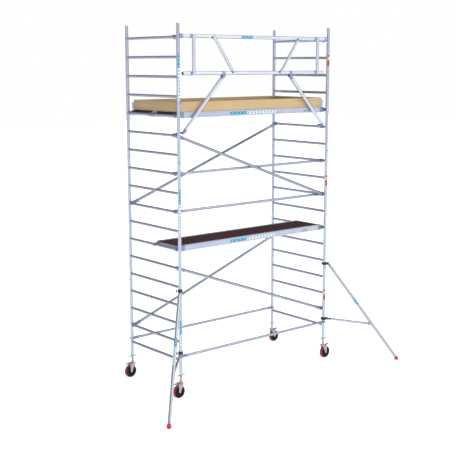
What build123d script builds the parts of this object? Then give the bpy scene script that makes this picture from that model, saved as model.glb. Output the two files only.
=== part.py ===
from build123d import *
import os
from math import atan2, cos, degrees, hypot, radians, sin

# A mobile tower scaffold. The origin is on the floor, midway between the four posts.
# X runs along the tower, Y across it with the working side towards -Y, and Z up.

# Driving dimensions, in millimetres
bay_length = 3050.0  # between the two end frames' post axes
frame_width = 1284.0  # between the two post axes of one end frame
rung_pitch = 280.0
base_rungs = 4
upper_rungs = 7  # in each middle and top frame
post_d = 50.8
post_wall = 2.4
rung_d = 40.0
rung_wall = 2.2
post_above_rung = 60.0  # from a frame's highest rung to its post's top

# Spigots that join one post to the next, and their locking pins
spigot_clearance = 0.5
spigot_root_clearance = 0.1
spigot_wall = 3.0
spigot_in_post = 100.0
spigot_standing = 134.0
clip_pin_d = 9.0
clip_pin_clearance = 0.3
clip_height = 110.0  # above the posts' joint
clip_pin_overhang = 8.0
clip_head_d = 17.0
clip_head_thickness = 4.0

# Claws and hooks over the rungs
grip_clearance = 0.3
claw_wall = 11.7
claw_width = 44.0
claw_neck_height = 36.0
claw_reach = 58.0
claw_mouth_relief = 4.0  # the mouth is this much narrower than the bore
side_mouth = 120.0  # degrees from the neck to the mouth

# Braces and rails between the end frames
brace_d = 44.0
brace_wall = 2.2
brace_inset = 56.0  # from a post's axis to a brace's axis
rail_d = 40.0
rail_inset = 104.0
rail_rungs = (8, 10)  # the rungs the two guard rails rest on, counted from 0 at the bottom
upper_brace_rungs = (12, 8)  # at its left and right ends on the working side, swapped at the back
lower_brace_rungs = (5, 1)
base_rail_rise = 55.0  # above the lowest rung
base_rail_claw_width = 30.0
base_rail_claw_wall = 9.0

# Platforms
platform_gap = 10.0  # between the two upper platforms
platform_front_gap = 16.6  # from the posts to the front platforms
platform_back_gap = 6.6
beam_width = 50.0
beam_below_rung = 32.0
beam_above_rung = 52.0
beam_wall = 3.0
beam_end_gap = 45.0  # from the rung's axis to the beam's end
hook_width = 40.0
hook_wall = 12.0
hook_neck_height = 44.0
deck_thickness = 12.0
transom_size = 34.0
transom_wall = 2.5
transom_count = 6
hatch_transoms = 3  # of them, the first and one on each side of the hatch
lower_platform_rung = 6
upper_platform_rung = 13
latch_size = (110.0, 12.0, 30.0)
latch_from_end = 430.0  # from the rung's axis to the latch's middle

# Hatch in the upper back platform
hatch_length = 600.0
hatch_from_end = 130.0  # from the beam's end to the hatch's transom
hatch_clearance = 3.0
hatch_hinge_space = 16.0  # between the hatch and the beam
hinge_pin_d = 6.0
hinge_pin_clearance = 0.05
hinge_knuckle_d = 14.0
hinge_axis_rise = 8.0  # above the deck
hinge_knuckle = 30.0
hinge_knuckle_gap = 0.5
hinge_leaf = 3.0
hinge_leaf_depth = 30.0
hinge_arm = 52.0
hinge_spread = 400.0

# Toe boards
board_height = 150.0
board_thickness = 25.0
board_inset = 10.0  # from the platform's edge
board_end_gap = 85.0  # from the rung's axis to the long boards' ends
corner_clip_length = 48.0
corner_clip_width = 38.0
corner_clip_height = 100.0
corner_clip_rise = 15.0

# Guardrail frame along the working side
guard_y_inset = 10.0  # from the posts' axes to the guardrail's plane
guard_rail_d = 52.0
guard_strut_d = 50.0
guard_wall = 2.2
guard_top_above_rung = 18.0
guard_height = 530.0  # between its top and lower rails
guard_top_end_gap = 35.0  # from the rung's axis to the top rail's end
guard_low_end_gap = 85.0
upright_from_rung = 265.0
upright_offset = 33.0  # in front of the rails
upright_overhang = 20.0
diagonal_d = 44.0
diagonal_top_from_rung = 650.0
diagonal_low_from_rung = 1055.0
leg_top_from_rung = 840.0
leg_drop = 45.0  # from the lower rail to the legs' top pivot
leg_foot_from_rung = (90.0, 35.0)  # along X and up
leg_claw_inset = 105.0  # from the posts' axes to the leg claws
leg_rung = 12
leg_d = 52.0
leg_stub_d = 46.0
leg_stub = 45.0
leg_bar_d = 32.0
bracket_size = (80.0, 44.0)
bracket_below_pivot = 20.0
guard_claw_inset = 92.0
guard_claw_reach = 80.0
guard_arm = 30.0

# Outriggers on the two working-side posts
outrigger_heading = 45.0  # degrees outwards from the tower's side
upper_clamp_below_rung = 50.0
clamp_rung = 4
lower_clamp_above_rail = 59.0
clamp_height = 44.0
clamp_wall = 11.0
clamp_clearance = 0.08
clamp_ear_thickness = 24.0
clamp_bolt_d = 14.0
clamp_bolt_reach = 62.0
outrigger_pivot = 65.0  # from the post's axis
stub_cap = 12.0  # closes the upper end of the tube it holds
outrigger_reach = 1265.0
outrigger_d = 50.0
outrigger_wall = 3.0
outrigger_stub = 40.0
arm_d = 38.0
arm_wall = 2.5
arm_reach = 820.0
foot_sleeve_d = 66.0
foot_pad_d = 64.0
foot_pad_height = 12.0
foot_sleeve = 75.0

# Casters and their levelling legs
wheel_d = 200.0
wheel_width = 50.0
tyre_thickness = 15.0
tyre_corner = 8.0
hub_web = 16.0
hub_boss_d = 44.0
hub_rim = 9.0
trail = 42.0  # from the swivel's axis to the axle
axle_d = 12.0
running_clearance = 0.05
axle_head_d = 20.0
axle_head = 6.0
fork_gap = 4.0
fork_plate = 5.0
fork_top_gap = 6.0
fork_top_plate = 8.0
fork_half_width = 44.0
fork_tip_d = 34.0
swivel_cup_d = 54.0
swivel_cup_height = 22.0
swivel_floor = 22.0  # from the fork's top plate to the spindle's foot
kingpin_d = 16.0
kingpin_head_d = 24.0
kingpin_head = 5.0
spindle_d = 32.0
spindle_wall = 5.0
spindle_length = 550.0
swivel_to_post = 124.0  # from the spindle's foot to the post's lower end
nut_height = 22.0
nut_d = 58.0
nut_wing_reach = 78.0
nut_wing_width = 14.0
nut_wing_height = 12.0
lever_plate = 6.0
lever_swivel_gap = 2.0
lever_gap = 1.0
ear_plate = 5.0
lever_pivot_x = 45.0
lever_pivot_rise = 12.0  # above the fork's top plate
lever_pin_d = 8.0
lever_height = 12.0
lever_reach = 122.0
prong_x = 38.0
prong_rise = 24.0
pedal_length = 34.0
ear_length = 22.0

# Derived places
fork_under = wheel_d + fork_top_gap
fork_top = fork_under + fork_top_plate
swivel_z = fork_top + swivel_floor
post_foot_z = swivel_z + swivel_to_post
post_below_rung = rung_pitch - post_above_rung
lowest_rung_height = post_foot_z + post_below_rung
platform_space = frame_width - post_d - platform_front_gap - platform_back_gap - platform_gap
platform_width = platform_space / 2
half_bay = bay_length / 2
half_frame = frame_width / 2
post_r = post_d / 2
rung_r = rung_d / 2
post_bore_r = post_r - post_wall
spigot_r = post_bore_r - spigot_clearance
spigot_root_r = post_bore_r - spigot_root_clearance
claw_bore_r = rung_r + grip_clearance
beam_end_x = half_bay - beam_end_gap
total_rungs = base_rungs + 2 * upper_rungs
spigot_joints = (base_rungs, base_rungs + upper_rungs, total_rungs)
front_platform_y = -half_frame + post_r + platform_front_gap
back_platform_y = front_platform_y + platform_width + platform_gap
SIDES = {"left": -1, "right": 1}
ENDS = {"front": -1, "back": 1}


def rung_z(number):
    """The height of a rung's axis, counted from 0 at the bottom."""
    return lowest_rung_height + number * rung_pitch


def save(piece, name):
    """Labels one finished piece and writes it."""
    piece.part.label = name
    export_step(piece.part, f"parts/{name}.step")


def save_group(pieces, name):
    """Writes pieces that share a name as separate solids of one node."""
    group = Compound(label=name, children=[piece.part for piece in pieces])
    export_step(group, f"parts/{name}.step")


def tube(start, end, outer_d, wall, cutters=()):
    """A round tube from start to end, cut back by each of the cutters."""
    run = Vector(end) - Vector(start)
    with BuildPart() as piece:
        with BuildSketch(Plane(origin=start, z_dir=run)):
            Circle(outer_d / 2)
            Circle(outer_d / 2 - wall, mode=Mode.SUBTRACT)
        extrude(amount=run.length)
        for cutter in cutters:
            add(cutter.part, mode=Mode.SUBTRACT)
    return piece


def bar(start, end, outer_d):
    """A solid round bar from start to end."""
    run = Vector(end) - Vector(start)
    with BuildPart() as piece:
        with BuildSketch(Plane(origin=start, z_dir=run)):
            Circle(outer_d / 2)
        extrude(amount=run.length)
    return piece


def block(low, high, cutters=()):
    """A plain block between two corners, cut back by each of the cutters."""
    size = Vector(high) - Vector(low)
    with BuildPart() as piece:
        with BuildSketch(Plane(origin=low)):
            Rectangle(size.X, size.Y, align=(Align.MIN, Align.MIN))
        extrude(amount=size.Z)
        for cutter in cutters:
            add(cutter.part, mode=Mode.SUBTRACT)
    return piece


def box_tube(low, high, wall, axis):
    """A rectangular tube between two corners, open at both ends along axis."""
    size = Vector(high) - Vector(low)
    inset = Vector(wall, wall, wall) - Vector(*axis) * wall
    with BuildPart() as piece:
        with BuildSketch(Plane(origin=low)):
            Rectangle(size.X, size.Y, align=(Align.MIN, Align.MIN))
        extrude(amount=size.Z)
        with BuildSketch(Plane(origin=Vector(low) + inset)):
            Rectangle(size.X - 2 * inset.X, size.Y - 2 * inset.Y, align=(Align.MIN, Align.MIN))
        extrude(amount=size.Z - 2 * inset.Z, mode=Mode.SUBTRACT)
    return piece


def rung_plane(x, z, y_mid, width, angle):
    """The far side of a claw: local X points along angle, seen from the working side."""
    return Plane(
        origin=(x, y_mid + width / 2, z),
        x_dir=(cos(radians(angle)), 0, sin(radians(angle))),
        z_dir=(0, -1, 0),
    )


def claw(plane, width, bore_r, wall, reach, neck_height, mouth_turn):
    """A cast claw: a ring open at its mouth, with a neck out to reach."""
    with BuildPart() as piece:
        with BuildSketch(plane):
            Circle(bore_r + wall)
            Rectangle(reach, neck_height, align=(Align.MIN, Align.CENTER))
            Circle(bore_r, mode=Mode.SUBTRACT)
            Rectangle(
                bore_r + 2 * wall,
                2 * bore_r - claw_mouth_relief,
                rotation=mouth_turn,
                align=(Align.MIN, Align.CENTER),
                mode=Mode.SUBTRACT,
            )
        extrude(amount=width)
    return piece


# End frames: two posts and their rungs, welded
def clip_drill(x, y, joint):
    """The drill for a locking pin, across a post above its joint."""
    z = joint + clip_height
    return bar((x, y - post_d, z), (x, y + post_d, z), clip_pin_d + 2 * clip_pin_clearance)


def post(side, end, foot, head, pinned):
    """One post, drilled for its locking pin where it stands on a spigot."""
    x, y = side * half_bay, end * half_frame
    drills = [clip_drill(x, y, foot)] if pinned else []
    return tube((x, y, foot), (x, y, head), post_d, post_wall, drills)


def rung(side, number):
    """One rung, shaped at its ends to the posts."""
    x, z = side * half_bay, rung_z(number)
    low, high = z - rung_pitch / 2, z + rung_pitch / 2
    posts = [bar((x, y, low), (x, y, high), post_d) for y in (-half_frame, half_frame)]
    return tube((x, -half_frame, z), (x, half_frame, z), rung_d, rung_wall, posts)


def end_frame(side, first, count):
    """The posts and rungs of one frame."""
    foot = rung_z(first) - post_below_rung
    head = rung_z(first + count - 1) + post_above_rung
    posts = [post(side, end, foot, head, first > 0) for end in ENDS.values()]
    return posts + [rung(side, first + number) for number in range(count)]


def spigot(side, end, joint):
    """A tube fixed in the top of one post, which the next post stands on."""
    x, y = side * half_bay, end * half_frame
    with BuildPart() as piece:
        with BuildSketch(Plane(origin=(x, y, joint - spigot_in_post))):
            Circle(spigot_root_r)
        extrude(amount=spigot_in_post)
        with BuildSketch(Plane(origin=(x, y, joint))):
            Circle(spigot_r)
        extrude(amount=spigot_standing)
        with BuildSketch(Plane(origin=(x, y, joint - spigot_in_post))):
            Circle(spigot_r - spigot_wall)
        extrude(amount=spigot_in_post + spigot_standing, mode=Mode.SUBTRACT)
        add(clip_drill(x, y, joint).part, mode=Mode.SUBTRACT)
    return piece


def spring_clip(side, end, joint):
    """The pin that locks a post on its spigot, with its head on the outside."""
    x, y, z = side * half_bay, end * half_frame, joint + clip_height
    overhang = end * (post_r + clip_pin_overhang)
    with BuildPart() as piece:
        with BuildSketch(Plane(origin=(x, y - overhang, z), z_dir=(0, end, 0))):
            Circle(clip_pin_d / 2)
        extrude(amount=post_d + 2 * clip_pin_overhang)
        with BuildSketch(Plane(origin=(x, y + overhang, z), z_dir=(0, -end, 0))):
            Circle(clip_head_d / 2)
        extrude(amount=clip_head_thickness)
    return piece


def build_end_frames():
    joints = [rung_z(count - 1) + post_above_rung for count in spigot_joints]
    levels = (
        ("base", 0, base_rungs),
        ("middle", base_rungs, upper_rungs),
        ("top", base_rungs + upper_rungs, upper_rungs),
    )
    for level, first, count in levels:
        for name, side in SIDES.items():
            save_group(end_frame(side, first, count), f"{level}_frame_{name}")
    corners = [(side, end) for side in SIDES.values() for end in ENDS.values()]
    spigots = [spigot(side, end, joint) for joint in joints for side, end in corners]
    save_group(spigots, "frame_spigots")
    clips = [spring_clip(side, end, joint) for joint in joints[:-1] for side, end in corners]
    save_group(clips, "spring_clips")


# Braces and rails: tubes with a claw at each end
def brace(left_rung, right_rung, y, outer_d):
    """A tube between two rungs, and the two claws that hold it."""
    rise = rung_z(right_rung) - rung_z(left_rung)
    slope = degrees(atan2(rise, bay_length))
    along = Vector(cos(radians(slope)), 0, sin(radians(slope))) * claw_reach
    left = Vector(-half_bay, y, rung_z(left_rung))
    right = Vector(half_bay, y, rung_z(right_rung))
    claws = [
        claw(
            rung_plane(point.X, point.Z, y, claw_width, slope + turn),
            claw_width,
            claw_bore_r,
            claw_wall,
            claw_reach,
            claw_neck_height,
            mouth,
        )
        for point, turn, mouth in ((left, 0, -side_mouth), (right, 180, side_mouth))
    ]
    return tube(left + along, right - along, outer_d, brace_wall), claws


def base_rail(end):
    """A rail that grips the two posts of one side above the lowest rungs."""
    y, z = end * half_frame, rung_z(0) + base_rail_rise
    low = z - base_rail_claw_width / 2
    claws = [
        claw(
            Plane(origin=(side * half_bay, y, low), x_dir=(-side, 0, 0), z_dir=(0, 0, 1)),
            base_rail_claw_width,
            post_r + grip_clearance,
            base_rail_claw_wall,
            claw_reach,
            claw_neck_height,
            180,
        )
        for side in SIDES.values()
    ]
    reach = half_bay - claw_reach
    return tube((-reach, y, z), (reach, y, z), rail_d, brace_wall), claws


def build_braces():
    brace_y = half_frame - brace_inset
    rail_y = half_frame - rail_inset
    diagonals = {
        "diagonal_brace_front_upper": (*upper_brace_rungs, -brace_y),
        "diagonal_brace_back_upper": (*reversed(upper_brace_rungs), brace_y),
        "diagonal_brace_front_lower": (*lower_brace_rungs, -brace_y),
        "diagonal_brace_back_lower": (*reversed(lower_brace_rungs), brace_y),
    }
    claws = []
    for name, (left_rung, right_rung, y) in diagonals.items():
        piece, ends = brace(left_rung, right_rung, y, brace_d)
        save(piece, name)
        claws += ends
    rails = []
    for number in rail_rungs:
        piece, ends = brace(number, number, -rail_y, rail_d)
        rails.append(piece)
        claws += ends
    save_group(rails, "guard_rails")
    base_rails = []
    for end in ENDS.values():
        piece, ends = base_rail(end)
        base_rails.append(piece)
        claws += ends
    save_group(base_rails, "base_rails")
    save_group(claws, "brace_claws")


# Platforms: two side beams, transoms, a deck and four hooks
hatch_low_x = -beam_end_x + hatch_from_end
hatch_high_x = hatch_low_x + hatch_length


def transom_places(has_hatch):
    """The middles of the transoms along X: evenly spaced, or round the hatch."""
    first = -beam_end_x + transom_size / 2
    if not has_hatch:
        spacing = -2 * first / (transom_count - 1)
        return [first + number * spacing for number in range(transom_count)]
    beside = [hatch_low_x - transom_size / 2, hatch_high_x + transom_size / 2]
    rest = transom_count - hatch_transoms
    spacing = (-first - beside[1]) / rest
    return [first] + beside + [beside[1] + number * spacing for number in range(1, rest + 1)]


def platform_frame(low_y, rung_number, has_hatch=False):
    """The side beams and the transoms between them."""
    z = rung_z(rung_number)
    high_y = low_y + platform_width
    beams = [
        box_tube(
            (-beam_end_x, y, z - beam_below_rung),
            (beam_end_x, y + beam_width, z + beam_above_rung),
            beam_wall,
            (1, 0, 0),
        )
        for y in (low_y, high_y - beam_width)
    ]
    deck_under = z + beam_above_rung - deck_thickness
    transoms = [
        box_tube(
            (x - transom_size / 2, low_y + beam_width, deck_under - transom_size),
            (x + transom_size / 2, high_y - beam_width, deck_under),
            transom_wall,
            (0, 1, 0),
        )
        for x in transom_places(has_hatch)
    ]
    return beams + transoms


def deck(low_y, rung_number, stretches):
    """The deck boards, one for each stretch along X."""
    top = rung_z(rung_number) + beam_above_rung
    return [
        block(
            (low_x, low_y + beam_width, top - deck_thickness),
            (high_x, low_y + platform_width - beam_width, top),
        )
        for low_x, high_x in stretches
    ]


def platform_hooks(low_y, rung_number):
    """The four hooks of a platform, open at the bottom."""
    middles = (low_y + beam_width / 2, low_y + platform_width - beam_width / 2)
    return [
        claw(
            rung_plane(side * half_bay, rung_z(rung_number), y, hook_width, 90 + 90 * side),
            hook_width,
            claw_bore_r,
            hook_wall,
            beam_end_gap,
            hook_neck_height,
            90 * side,
        )
        for side in SIDES.values()
        for y in middles
    ]


def wind_latch(low_y, rung_number):
    """The lever on a front beam that keeps the platform from lifting."""
    x = half_bay - latch_from_end
    length, depth, height = latch_size
    z = rung_z(rung_number)
    low = (x - length / 2, low_y - depth, z - height / 2)
    return block(low, (x + length / 2, low_y, z + height / 2))


def across(x, y, z):
    """The plane square to X at a point, with its local X along Y."""
    return Plane(origin=(x, y, z), x_dir=(0, 1, 0), z_dir=(1, 0, 0))


def hinge_parts(low_y):
    """The hatch with its knuckles, and the fixed hinges with their pins."""
    deck_top = rung_z(upper_platform_rung) + beam_above_rung
    beam_face = low_y + platform_width - beam_width
    hatch_edge = beam_face - hatch_hinge_space
    axis_y = beam_face - hatch_hinge_space / 2
    axis_z = deck_top + hinge_axis_rise
    middle_x = (hatch_low_x + hatch_high_x) / 2
    hinge_xs = [middle_x - hinge_spread / 2, middle_x + hinge_spread / 2]
    lid_x = hatch_low_x + hatch_clearance
    lid_y = low_y + beam_width + hatch_clearance
    with BuildPart() as lid:
        with BuildSketch(Plane(origin=(lid_x, lid_y, deck_top - deck_thickness))):
            Rectangle(
                hatch_length - 2 * hatch_clearance,
                hatch_edge - lid_y,
                align=(Align.MIN, Align.MIN),
            )
        extrude(amount=deck_thickness)
        for x in hinge_xs:
            with BuildSketch(across(x - hinge_knuckle / 2, axis_y, axis_z)):
                Circle(hinge_knuckle_d / 2)
                with Locations((0, -hinge_axis_rise)):
                    Rectangle(hinge_arm, hinge_leaf, align=(Align.MAX, Align.MIN))
                with Locations((0, -hinge_axis_rise)):
                    Rectangle(hinge_knuckle_d / 2, hinge_axis_rise, align=(Align.MAX, Align.MIN))
                Circle(hinge_pin_d / 2 + hinge_pin_clearance, mode=Mode.SUBTRACT)
            extrude(amount=hinge_knuckle)
    hinges = []
    for x in hinge_xs:
        reach = hinge_knuckle / 2 + hinge_knuckle_gap
        with BuildPart() as hinge:
            for start in (x - reach - hinge_knuckle / 2, x + reach):
                with BuildSketch(across(start, axis_y, axis_z)):
                    Circle(hinge_knuckle_d / 2)
                    with Locations((hatch_hinge_space / 2, 0)):
                        Rectangle(hatch_hinge_space / 2, hinge_knuckle_d / 2, align=(Align.MAX, Align.MAX))
                    with Locations((hatch_hinge_space / 2, 0)):
                        Rectangle(hinge_leaf, hinge_leaf_depth, align=(Align.MAX, Align.MAX))
                extrude(amount=hinge_knuckle / 2)
            with BuildSketch(across(x - reach - hinge_knuckle / 2, axis_y, axis_z)):
                Circle(hinge_pin_d / 2)
            extrude(amount=2 * reach + hinge_knuckle)
        hinges.append(hinge)
    return lid, hinges


def build_platforms():
    front_y, back_y = front_platform_y, back_platform_y
    whole = [(-beam_end_x, beam_end_x)]
    round_hatch = [(-beam_end_x, hatch_low_x), (hatch_high_x, beam_end_x)]
    platforms = (
        ("lower", front_y, lower_platform_rung, whole, False),
        ("front", front_y, upper_platform_rung, whole, False),
        ("back", back_y, upper_platform_rung, round_hatch, True),
    )
    hooks = []
    for name, low_y, number, stretches, has_hatch in platforms:
        save_group(platform_frame(low_y, number, has_hatch), f"platform_frame_{name}")
        save_group(deck(low_y, number, stretches), f"deck_{name}")
        hooks += platform_hooks(low_y, number)
    save_group(hooks, "platform_hooks")
    latches = [wind_latch(front_y, number) for number in (lower_platform_rung, upper_platform_rung)]
    save_group(latches, "wind_latches")
    lid, hinges = hinge_parts(back_y)
    save(lid, "hatch")
    save_group(hinges, "hatch_hinges")


# Toe boards round the upper platforms, held by a clip at each corner
def build_toe_boards():
    foot = rung_z(upper_platform_rung) + beam_above_rung
    low_y = front_platform_y + board_inset
    high_y = back_platform_y + platform_width - board_inset
    end_x = half_bay - board_end_gap
    boards = [
        block((-end_x, low_y, foot), (end_x, low_y + board_thickness, foot + board_height)),
        block((-end_x, high_y - board_thickness, foot), (end_x, high_y, foot + board_height)),
    ]
    clips = []
    end_low_y = low_y + corner_clip_width
    end_high_y = high_y - corner_clip_width
    for side in SIDES.values():
        inner, outer = sorted((side * end_x, side * (end_x + board_thickness)))
        boards.append(block((inner, end_low_y, foot), (outer, end_high_y, foot + board_height)))
        inner, outer = sorted((side * end_x, side * (end_x + corner_clip_length)))
        base = foot + corner_clip_rise
        for low in (low_y, end_high_y):
            high = (outer, low + corner_clip_width, base + corner_clip_height)
            clips.append(block((inner, low, base), high))
    save_group(boards, "toe_boards")
    save_group(clips, "toe_board_clips")


# Guardrail frame: two rails, uprights and diagonals, with two legs down to the rungs
def guardrail_leg(side, y, low_z):
    """A leg, the bracket at its top and the claw at its foot."""
    top = Vector(side * (half_bay - leg_top_from_rung), y, low_z - leg_drop)
    along_x, up = leg_foot_from_rung
    foot = Vector(side * (half_bay - along_x), y, rung_z(leg_rung) + up)
    run = (foot - top).normalized()
    piece = tube(top + run * leg_stub, foot - run * leg_stub, leg_d, guard_wall)
    length, width = bracket_size
    rail = bar((-half_bay, y, low_z), (half_bay, y, low_z), guard_rail_d)
    with BuildPart() as bracket:
        with BuildSketch(Plane.XY.offset(top.Z - bracket_below_pivot)):
            with Locations((top.X, y)):
                Rectangle(length, width)
        extrude(amount=low_z - top.Z + bracket_below_pivot)
        add(bar(top, top + run * leg_stub, leg_stub_d).part)
        add(rail.part, mode=Mode.SUBTRACT)
    claw_y = -half_frame + leg_claw_inset
    rise = degrees(atan2(up, along_x))
    neck = 180 - rise if side > 0 else rise
    gripper = claw(
        rung_plane(side * half_bay, rung_z(leg_rung), claw_y, claw_width, neck),
        claw_width,
        claw_bore_r,
        claw_wall,
        hypot(along_x, up),
        claw_neck_height,
        side * side_mouth,
    )
    with BuildPart() as foot_claw:
        add(gripper.part)
        add(bar(foot, (foot.X, claw_y, foot.Z), leg_bar_d).part)
        add(bar(foot - run * leg_stub, foot, leg_stub_d).part)
    return piece, bracket, foot_claw


def build_guardrail():
    y = -half_frame + guard_y_inset
    top_z = rung_z(total_rungs - 1) + guard_top_above_rung
    low_z = top_z - guard_height
    top_x, low_x = half_bay - guard_top_end_gap, half_bay - guard_low_end_gap
    places = ((top_x, top_z), (low_x, low_z))
    rails = [bar((-x, y, z), (x, y, z), guard_rail_d) for x, z in places]
    pieces = [tube((-x, y, z), (x, y, z), guard_rail_d, guard_wall) for x, z in places]
    for side in SIDES.values():
        x = side * (half_bay - upright_from_rung)
        front_y = y - upright_offset
        foot = (x, front_y, low_z - upright_overhang)
        head = (x, front_y, top_z + upright_overhang)
        pieces.append(tube(foot, head, guard_strut_d, guard_wall, rails))
        top = (side * (half_bay - diagonal_top_from_rung), y, top_z)
        low = (side * (half_bay - diagonal_low_from_rung), y, low_z)
        pieces.append(tube(low, top, diagonal_d, guard_wall, rails))
    save_group(pieces, "guardrail_frame")
    legs, fittings = [], []
    for side in SIDES.values():
        leg, bracket, foot_claw = guardrail_leg(side, y, low_z)
        legs.append(leg)
        fittings += [bracket, foot_claw, guardrail_top_claw(side, y, top_z, rails[0])]
    save_group(legs, "guardrail_legs")
    save_group(fittings, "guardrail_claws")


def guardrail_top_claw(side, y, top_z, rail):
    """A claw on the highest rung, with an arm that holds the end of the top rail."""
    claw_y = -half_frame + guard_claw_inset
    z = rung_z(total_rungs - 1)
    gripper = claw(
        rung_plane(side * half_bay, z, claw_y, claw_width, 90 + 90 * side),
        claw_width,
        claw_bore_r,
        claw_wall,
        guard_claw_reach,
        claw_neck_height,
        side * side_mouth,
    )
    arm_x = half_bay - guard_claw_reach
    inner, outer = sorted((side * arm_x, side * (arm_x + guard_arm)))
    with BuildPart() as piece:
        add(gripper.part)
        low, high = z - claw_neck_height / 2, top_z + claw_neck_height / 2
        add(block((inner, y, low), (outer, claw_y, high)).part)
        add(rail.part, mode=Mode.SUBTRACT)
    return piece


# Outriggers: clamps on a post, a long leg with a brace to it, and a rubber foot
def outrigger_point(side, reach, z):
    """A point in the outrigger's upright plane, reach out from the post's axis."""
    heading = radians(outrigger_heading)
    return Vector(side * (half_bay + reach * sin(heading)), -half_frame - reach * cos(heading), z)


def clamp(side, z, toward, held_d):
    """A collar on the post with an ear to the pivot and a capped stub for the tube it holds."""
    outward = outrigger_point(side, 1, 0) - outrigger_point(side, 0, 0)
    beside = outward.cross(Vector(0, 0, 1))
    centre = outrigger_point(side, 0, z - clamp_height / 2)
    pivot = outrigger_point(side, outrigger_pivot, z)
    run = (toward - pivot).normalized()
    stub_end = pivot + run * outrigger_stub
    with BuildPart() as piece:
        with BuildSketch(Plane(origin=centre, x_dir=outward, z_dir=(0, 0, 1))):
            Circle(post_r + clamp_clearance + clamp_wall)
            Rectangle(outrigger_pivot, clamp_ear_thickness, align=(Align.MIN, Align.CENTER))
        extrude(amount=clamp_height)
        bolt_start = outrigger_point(side, 0, z)
        with BuildSketch(Plane(origin=bolt_start, x_dir=outward, z_dir=beside)):
            Circle(clamp_bolt_d / 2)
        extrude(amount=clamp_bolt_reach)
        boss_start = pivot - beside * clamp_ear_thickness / 2
        with BuildSketch(Plane(origin=boss_start, x_dir=outward, z_dir=beside)):
            Circle(clamp_height / 2)
        extrude(amount=clamp_ear_thickness)
        add(bar(pivot, stub_end, clamp_ear_thickness).part)
        add(bar(stub_end - run * stub_cap, stub_end, held_d).part)
        with BuildSketch(Plane(origin=outrigger_point(side, 0, z - clamp_height))):
            Circle(post_r + clamp_clearance)
        extrude(amount=2 * clamp_height, mode=Mode.SUBTRACT)
    return piece, stub_end


def build_outrigger(name, side):
    upper_z = rung_z(clamp_rung) - upper_clamp_below_rung
    ground = outrigger_point(side, outrigger_reach, 0)
    leg_fall = upper_z / (outrigger_reach - outrigger_pivot)
    arm_end = outrigger_point(side, arm_reach, (outrigger_reach - arm_reach) * leg_fall)
    lower_z = rung_z(0) + base_rail_rise + lower_clamp_above_rail
    upper, leg_start = clamp(side, upper_z, ground, outrigger_d)
    lower, arm_start = clamp(side, lower_z, arm_end, arm_d)
    save_group([upper, lower], f"outrigger_{name}_clamps")
    run = (ground - leg_start).normalized()
    sleeve_top = ground - run * foot_sleeve
    leg = tube(leg_start, sleeve_top, outrigger_d, outrigger_wall)
    solid_leg = bar(leg_start, sleeve_top, outrigger_d)
    arm = tube(arm_start, arm_end, arm_d, arm_wall, [solid_leg])
    save_group([leg, arm], f"outrigger_{name}_tubes")
    below = ground + run * foot_sleeve
    pad_size = 2 * foot_sleeve
    with BuildPart() as foot:
        add(bar(sleeve_top, below, foot_sleeve_d).part)
        with BuildSketch(Plane.XY):
            with Locations((ground.X, ground.Y)):
                Circle(foot_pad_d / 2)
        extrude(amount=foot_pad_height)
        with BuildSketch(Plane.XY.offset(-pad_size)):
            with Locations((ground.X, ground.Y)):
                Rectangle(2 * pad_size, 2 * pad_size)
        extrude(amount=pad_size, mode=Mode.SUBTRACT)
    save(foot, f"outrigger_{name}_foot")


# Casters: a levelling leg with its nut, a swivelling fork, a wheel and a brake lever
axle_z = wheel_d / 2
wheel_half = wheel_width / 2
lever_z = fork_top + lever_pivot_rise
arm_inner = wheel_half + fork_gap
arm_outer = arm_inner + fork_plate
lever_in = swivel_cup_d / 2 + lever_swivel_gap
lever_out = lever_in + lever_plate
ear_in = lever_out + lever_gap
ear_out = ear_in + ear_plate


def build_leg(x, y, name):
    """The hollow spindle that slides in the post, and the kingpin at its foot."""
    with BuildPart() as leg:
        with BuildSketch(Plane(origin=(x, y, swivel_z))):
            Circle(spindle_d / 2)
        extrude(amount=spindle_length)
        with BuildSketch(Plane(origin=(x, y, swivel_z + swivel_cup_height))):
            Circle(spindle_d / 2 - spindle_wall)
        extrude(amount=spindle_length, mode=Mode.SUBTRACT)
        with BuildSketch(Plane(origin=(x, y, fork_under - kingpin_head - running_clearance))):
            Circle(kingpin_d / 2)
        extrude(amount=swivel_z - fork_under + kingpin_head + running_clearance)
        with BuildSketch(Plane(origin=(x, y, fork_under - kingpin_head - running_clearance))):
            Circle(kingpin_head_d / 2)
        extrude(amount=kingpin_head)
    save(leg, f"leg_{name}")


def build_nut(x, y, name):
    """The winged nut that the post stands on."""
    top = post_foot_z
    with BuildPart() as nut:
        with BuildSketch(Plane(origin=(x, y, top - nut_height))):
            Circle(nut_d / 2)
        extrude(amount=nut_height)
        with BuildSketch(Plane(origin=(x, y, top - nut_height))):
            SlotOverall(2 * nut_wing_reach, nut_wing_width)
        extrude(amount=nut_wing_height)
        with BuildSketch(Plane(origin=(x, y, top - nut_height))):
            Circle(spindle_d / 2 + running_clearance)
        extrude(amount=nut_height, mode=Mode.SUBTRACT)
    save(nut, f"leg_nut_{name}")


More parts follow.
